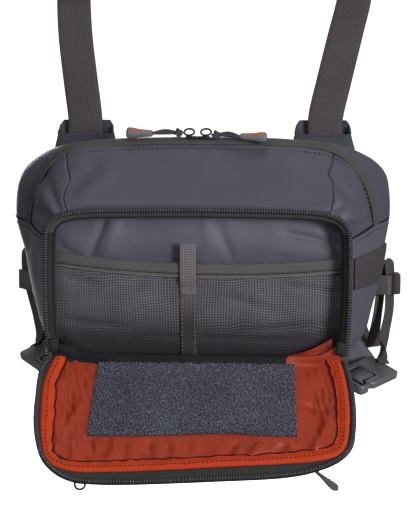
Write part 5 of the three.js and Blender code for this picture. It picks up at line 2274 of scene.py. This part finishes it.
@dataclass
class Harness:
    """Both sides of the harness, the flank's webbing band and the right strap's folded end."""

    strap_end: tuple = ((136.3, 5.5, -23.5), (139.7, 4.6, -23.5), (141.5, 7.4, -23.5), (140.1, 11, -23.5))

    def _flank(self) -> None:
        """The webbing band on the right flank and the right strap's folded end."""
        def surface(u: float, v: float) -> Vector:
            """A point of the band."""
            return FORM.lower(blend(0.882, 0.95, u), 0.05 + 0.92 * v)

        def relief(u: float, v: float, at: Vector) -> float:
            """Set off from the wall, with soft edges."""
            return 1.5 - 0.5 * abs(2 * u - 1) ** 8 + 0.2 * ripple(at, 12, 6.3)
        patch = Patch(surface, 20, 60, (25.0, 71.0), FORM.inside, relief)
        seat(cloth("side_webbing", [patch], 1.2, BAND_WEBBING), "webbing", "side_webbing")
        RIGHT.strap("strap_end_right", [(Vector(p), UP) for p in self.strap_end], 15.0, 24)

    def build(self) -> None:
        """Builds the harness."""
        for side in (LEFT, RIGHT):
            side.build()
        self._flank()


@dataclass
class Studio:
    """Camera, soft light and a pale floor that rises behind."""

    target: Vector = field(default_factory=lambda: Vector((0.0047, -0.045, 0.0)))
    azimuth: float = 4.0
    elevation: float = 7.0
    distance: float = 1.11
    lens: float = 109.74
    floor: float = -0.42

    def _camera(self) -> None:
        """The photograph's view, on an upright frame."""
        a, e = math.radians(self.azimuth), math.radians(self.elevation)
        back = Vector((math.sin(a) * math.cos(e), -math.cos(a) * math.cos(e), math.sin(e)))
        data = bpy.data.cameras.new("view")
        data.sensor_fit = "VERTICAL"
        data.sensor_height = 36.0
        data.lens = self.lens
        data.clip_start = 0.05
        camera = bpy.data.objects.new("view", data)
        camera.location = self.target + back * self.distance
        camera.rotation_euler = (-back).to_track_quat("-Z", "Y").to_euler()
        bpy.context.scene.collection.objects.link(camera)
        bpy.context.scene.camera = camera

    def _light(self, name: str, at: tuple, size: float, power: float, gleam: float = 1.0) -> None:
        """One soft box that faces the pack.

        Args:
            name: its name.
            at: where it stands.
            size: its side in metres.
            power: in watts.
            gleam: the share of its gleam on smooth faces.
        """
        data = bpy.data.lights.new(name, "AREA")
        data.shape = "SQUARE"
        data.size = size
        data.energy = power
        data.specular_factor = gleam
        lamp = bpy.data.objects.new(name, data)
        lamp.location = at
        lamp.rotation_euler = (self.target - Vector(at)).to_track_quat("-Z", "Y").to_euler()
        bpy.context.scene.collection.objects.link(lamp)

    def _floor(self) -> None:
        """A pale sweep of paper."""
        paper = bmesh.new()
        made = bmesh.ops.create_grid(paper, x_segments=2, y_segments=40, size=0.5)
        for vert in made["verts"]:
            along_y = (vert.co.y + 0.5) * 9 - 4
            rise = max(0.0, along_y - 2.2)
            vert.co = Vector((vert.co.x * 14, along_y - 0.35 * rise, self.floor + 0.55 * rise * rise))
        for f in paper.faces:
            f.smooth = True
        mesh = bpy.data.meshes.new("paper")
        paper.to_mesh(mesh)
        paper.free()
        graph = Graph("pale_paper")
        grain = graph.grain(graph.place(), 3.0)
        mesh.materials.append(graph.close({
            "Base Color": graph.tint(grain, srgb(244, 244, 244), srgb(250, 250, 250)),
            "Roughness": 0.9,
            "Emission Color": (1.0, 1.0, 1.0, 1.0),
            "Emission Strength": 1.0,
        }))
        sweep_paper = bpy.data.objects.new("paper", mesh)
        bpy.context.scene.collection.objects.link(sweep_paper)
        sweep_paper.visible_diffuse = False
        sweep_paper.visible_glossy = False

    def build(self) -> None:
        """Sets the studio up."""
        self._camera()
        self._floor()
        self._light("key", (1.14, -1.45, 0.31), 0.6, 33.0)
        self._light("fill", (-0.7, -1.4, 1.0), 0.7, 7.5)
        self._light("top", (0.1, 0.1, 1.6), 0.9, 5.0, 0.4)
        self._light("rear", (-0.5, 1.7, 0.1), 0.9, 24.0, 0.1)
        world = bpy.data.worlds.new("studio")
        bpy.context.scene.world = world
        world.use_nodes = True
        ground = world.node_tree.nodes["Background"]
        ground.inputs["Color"].default_value = (1.0, 1.0, 1.0, 1.0)
        ground.inputs["Strength"].default_value = 0.17
        bpy.context.scene.view_settings.view_transform = "Standard"


def main() -> None:
    """Builds the pack in order."""
    logging.basicConfig(level=logging.INFO, format="%(name)s %(message)s")
    for group in (Studio(), Walls(), FrontPocket(), Flap(), TopPulls(), Harness()):
        group.build()


if __name__ == "__main__":
    main()
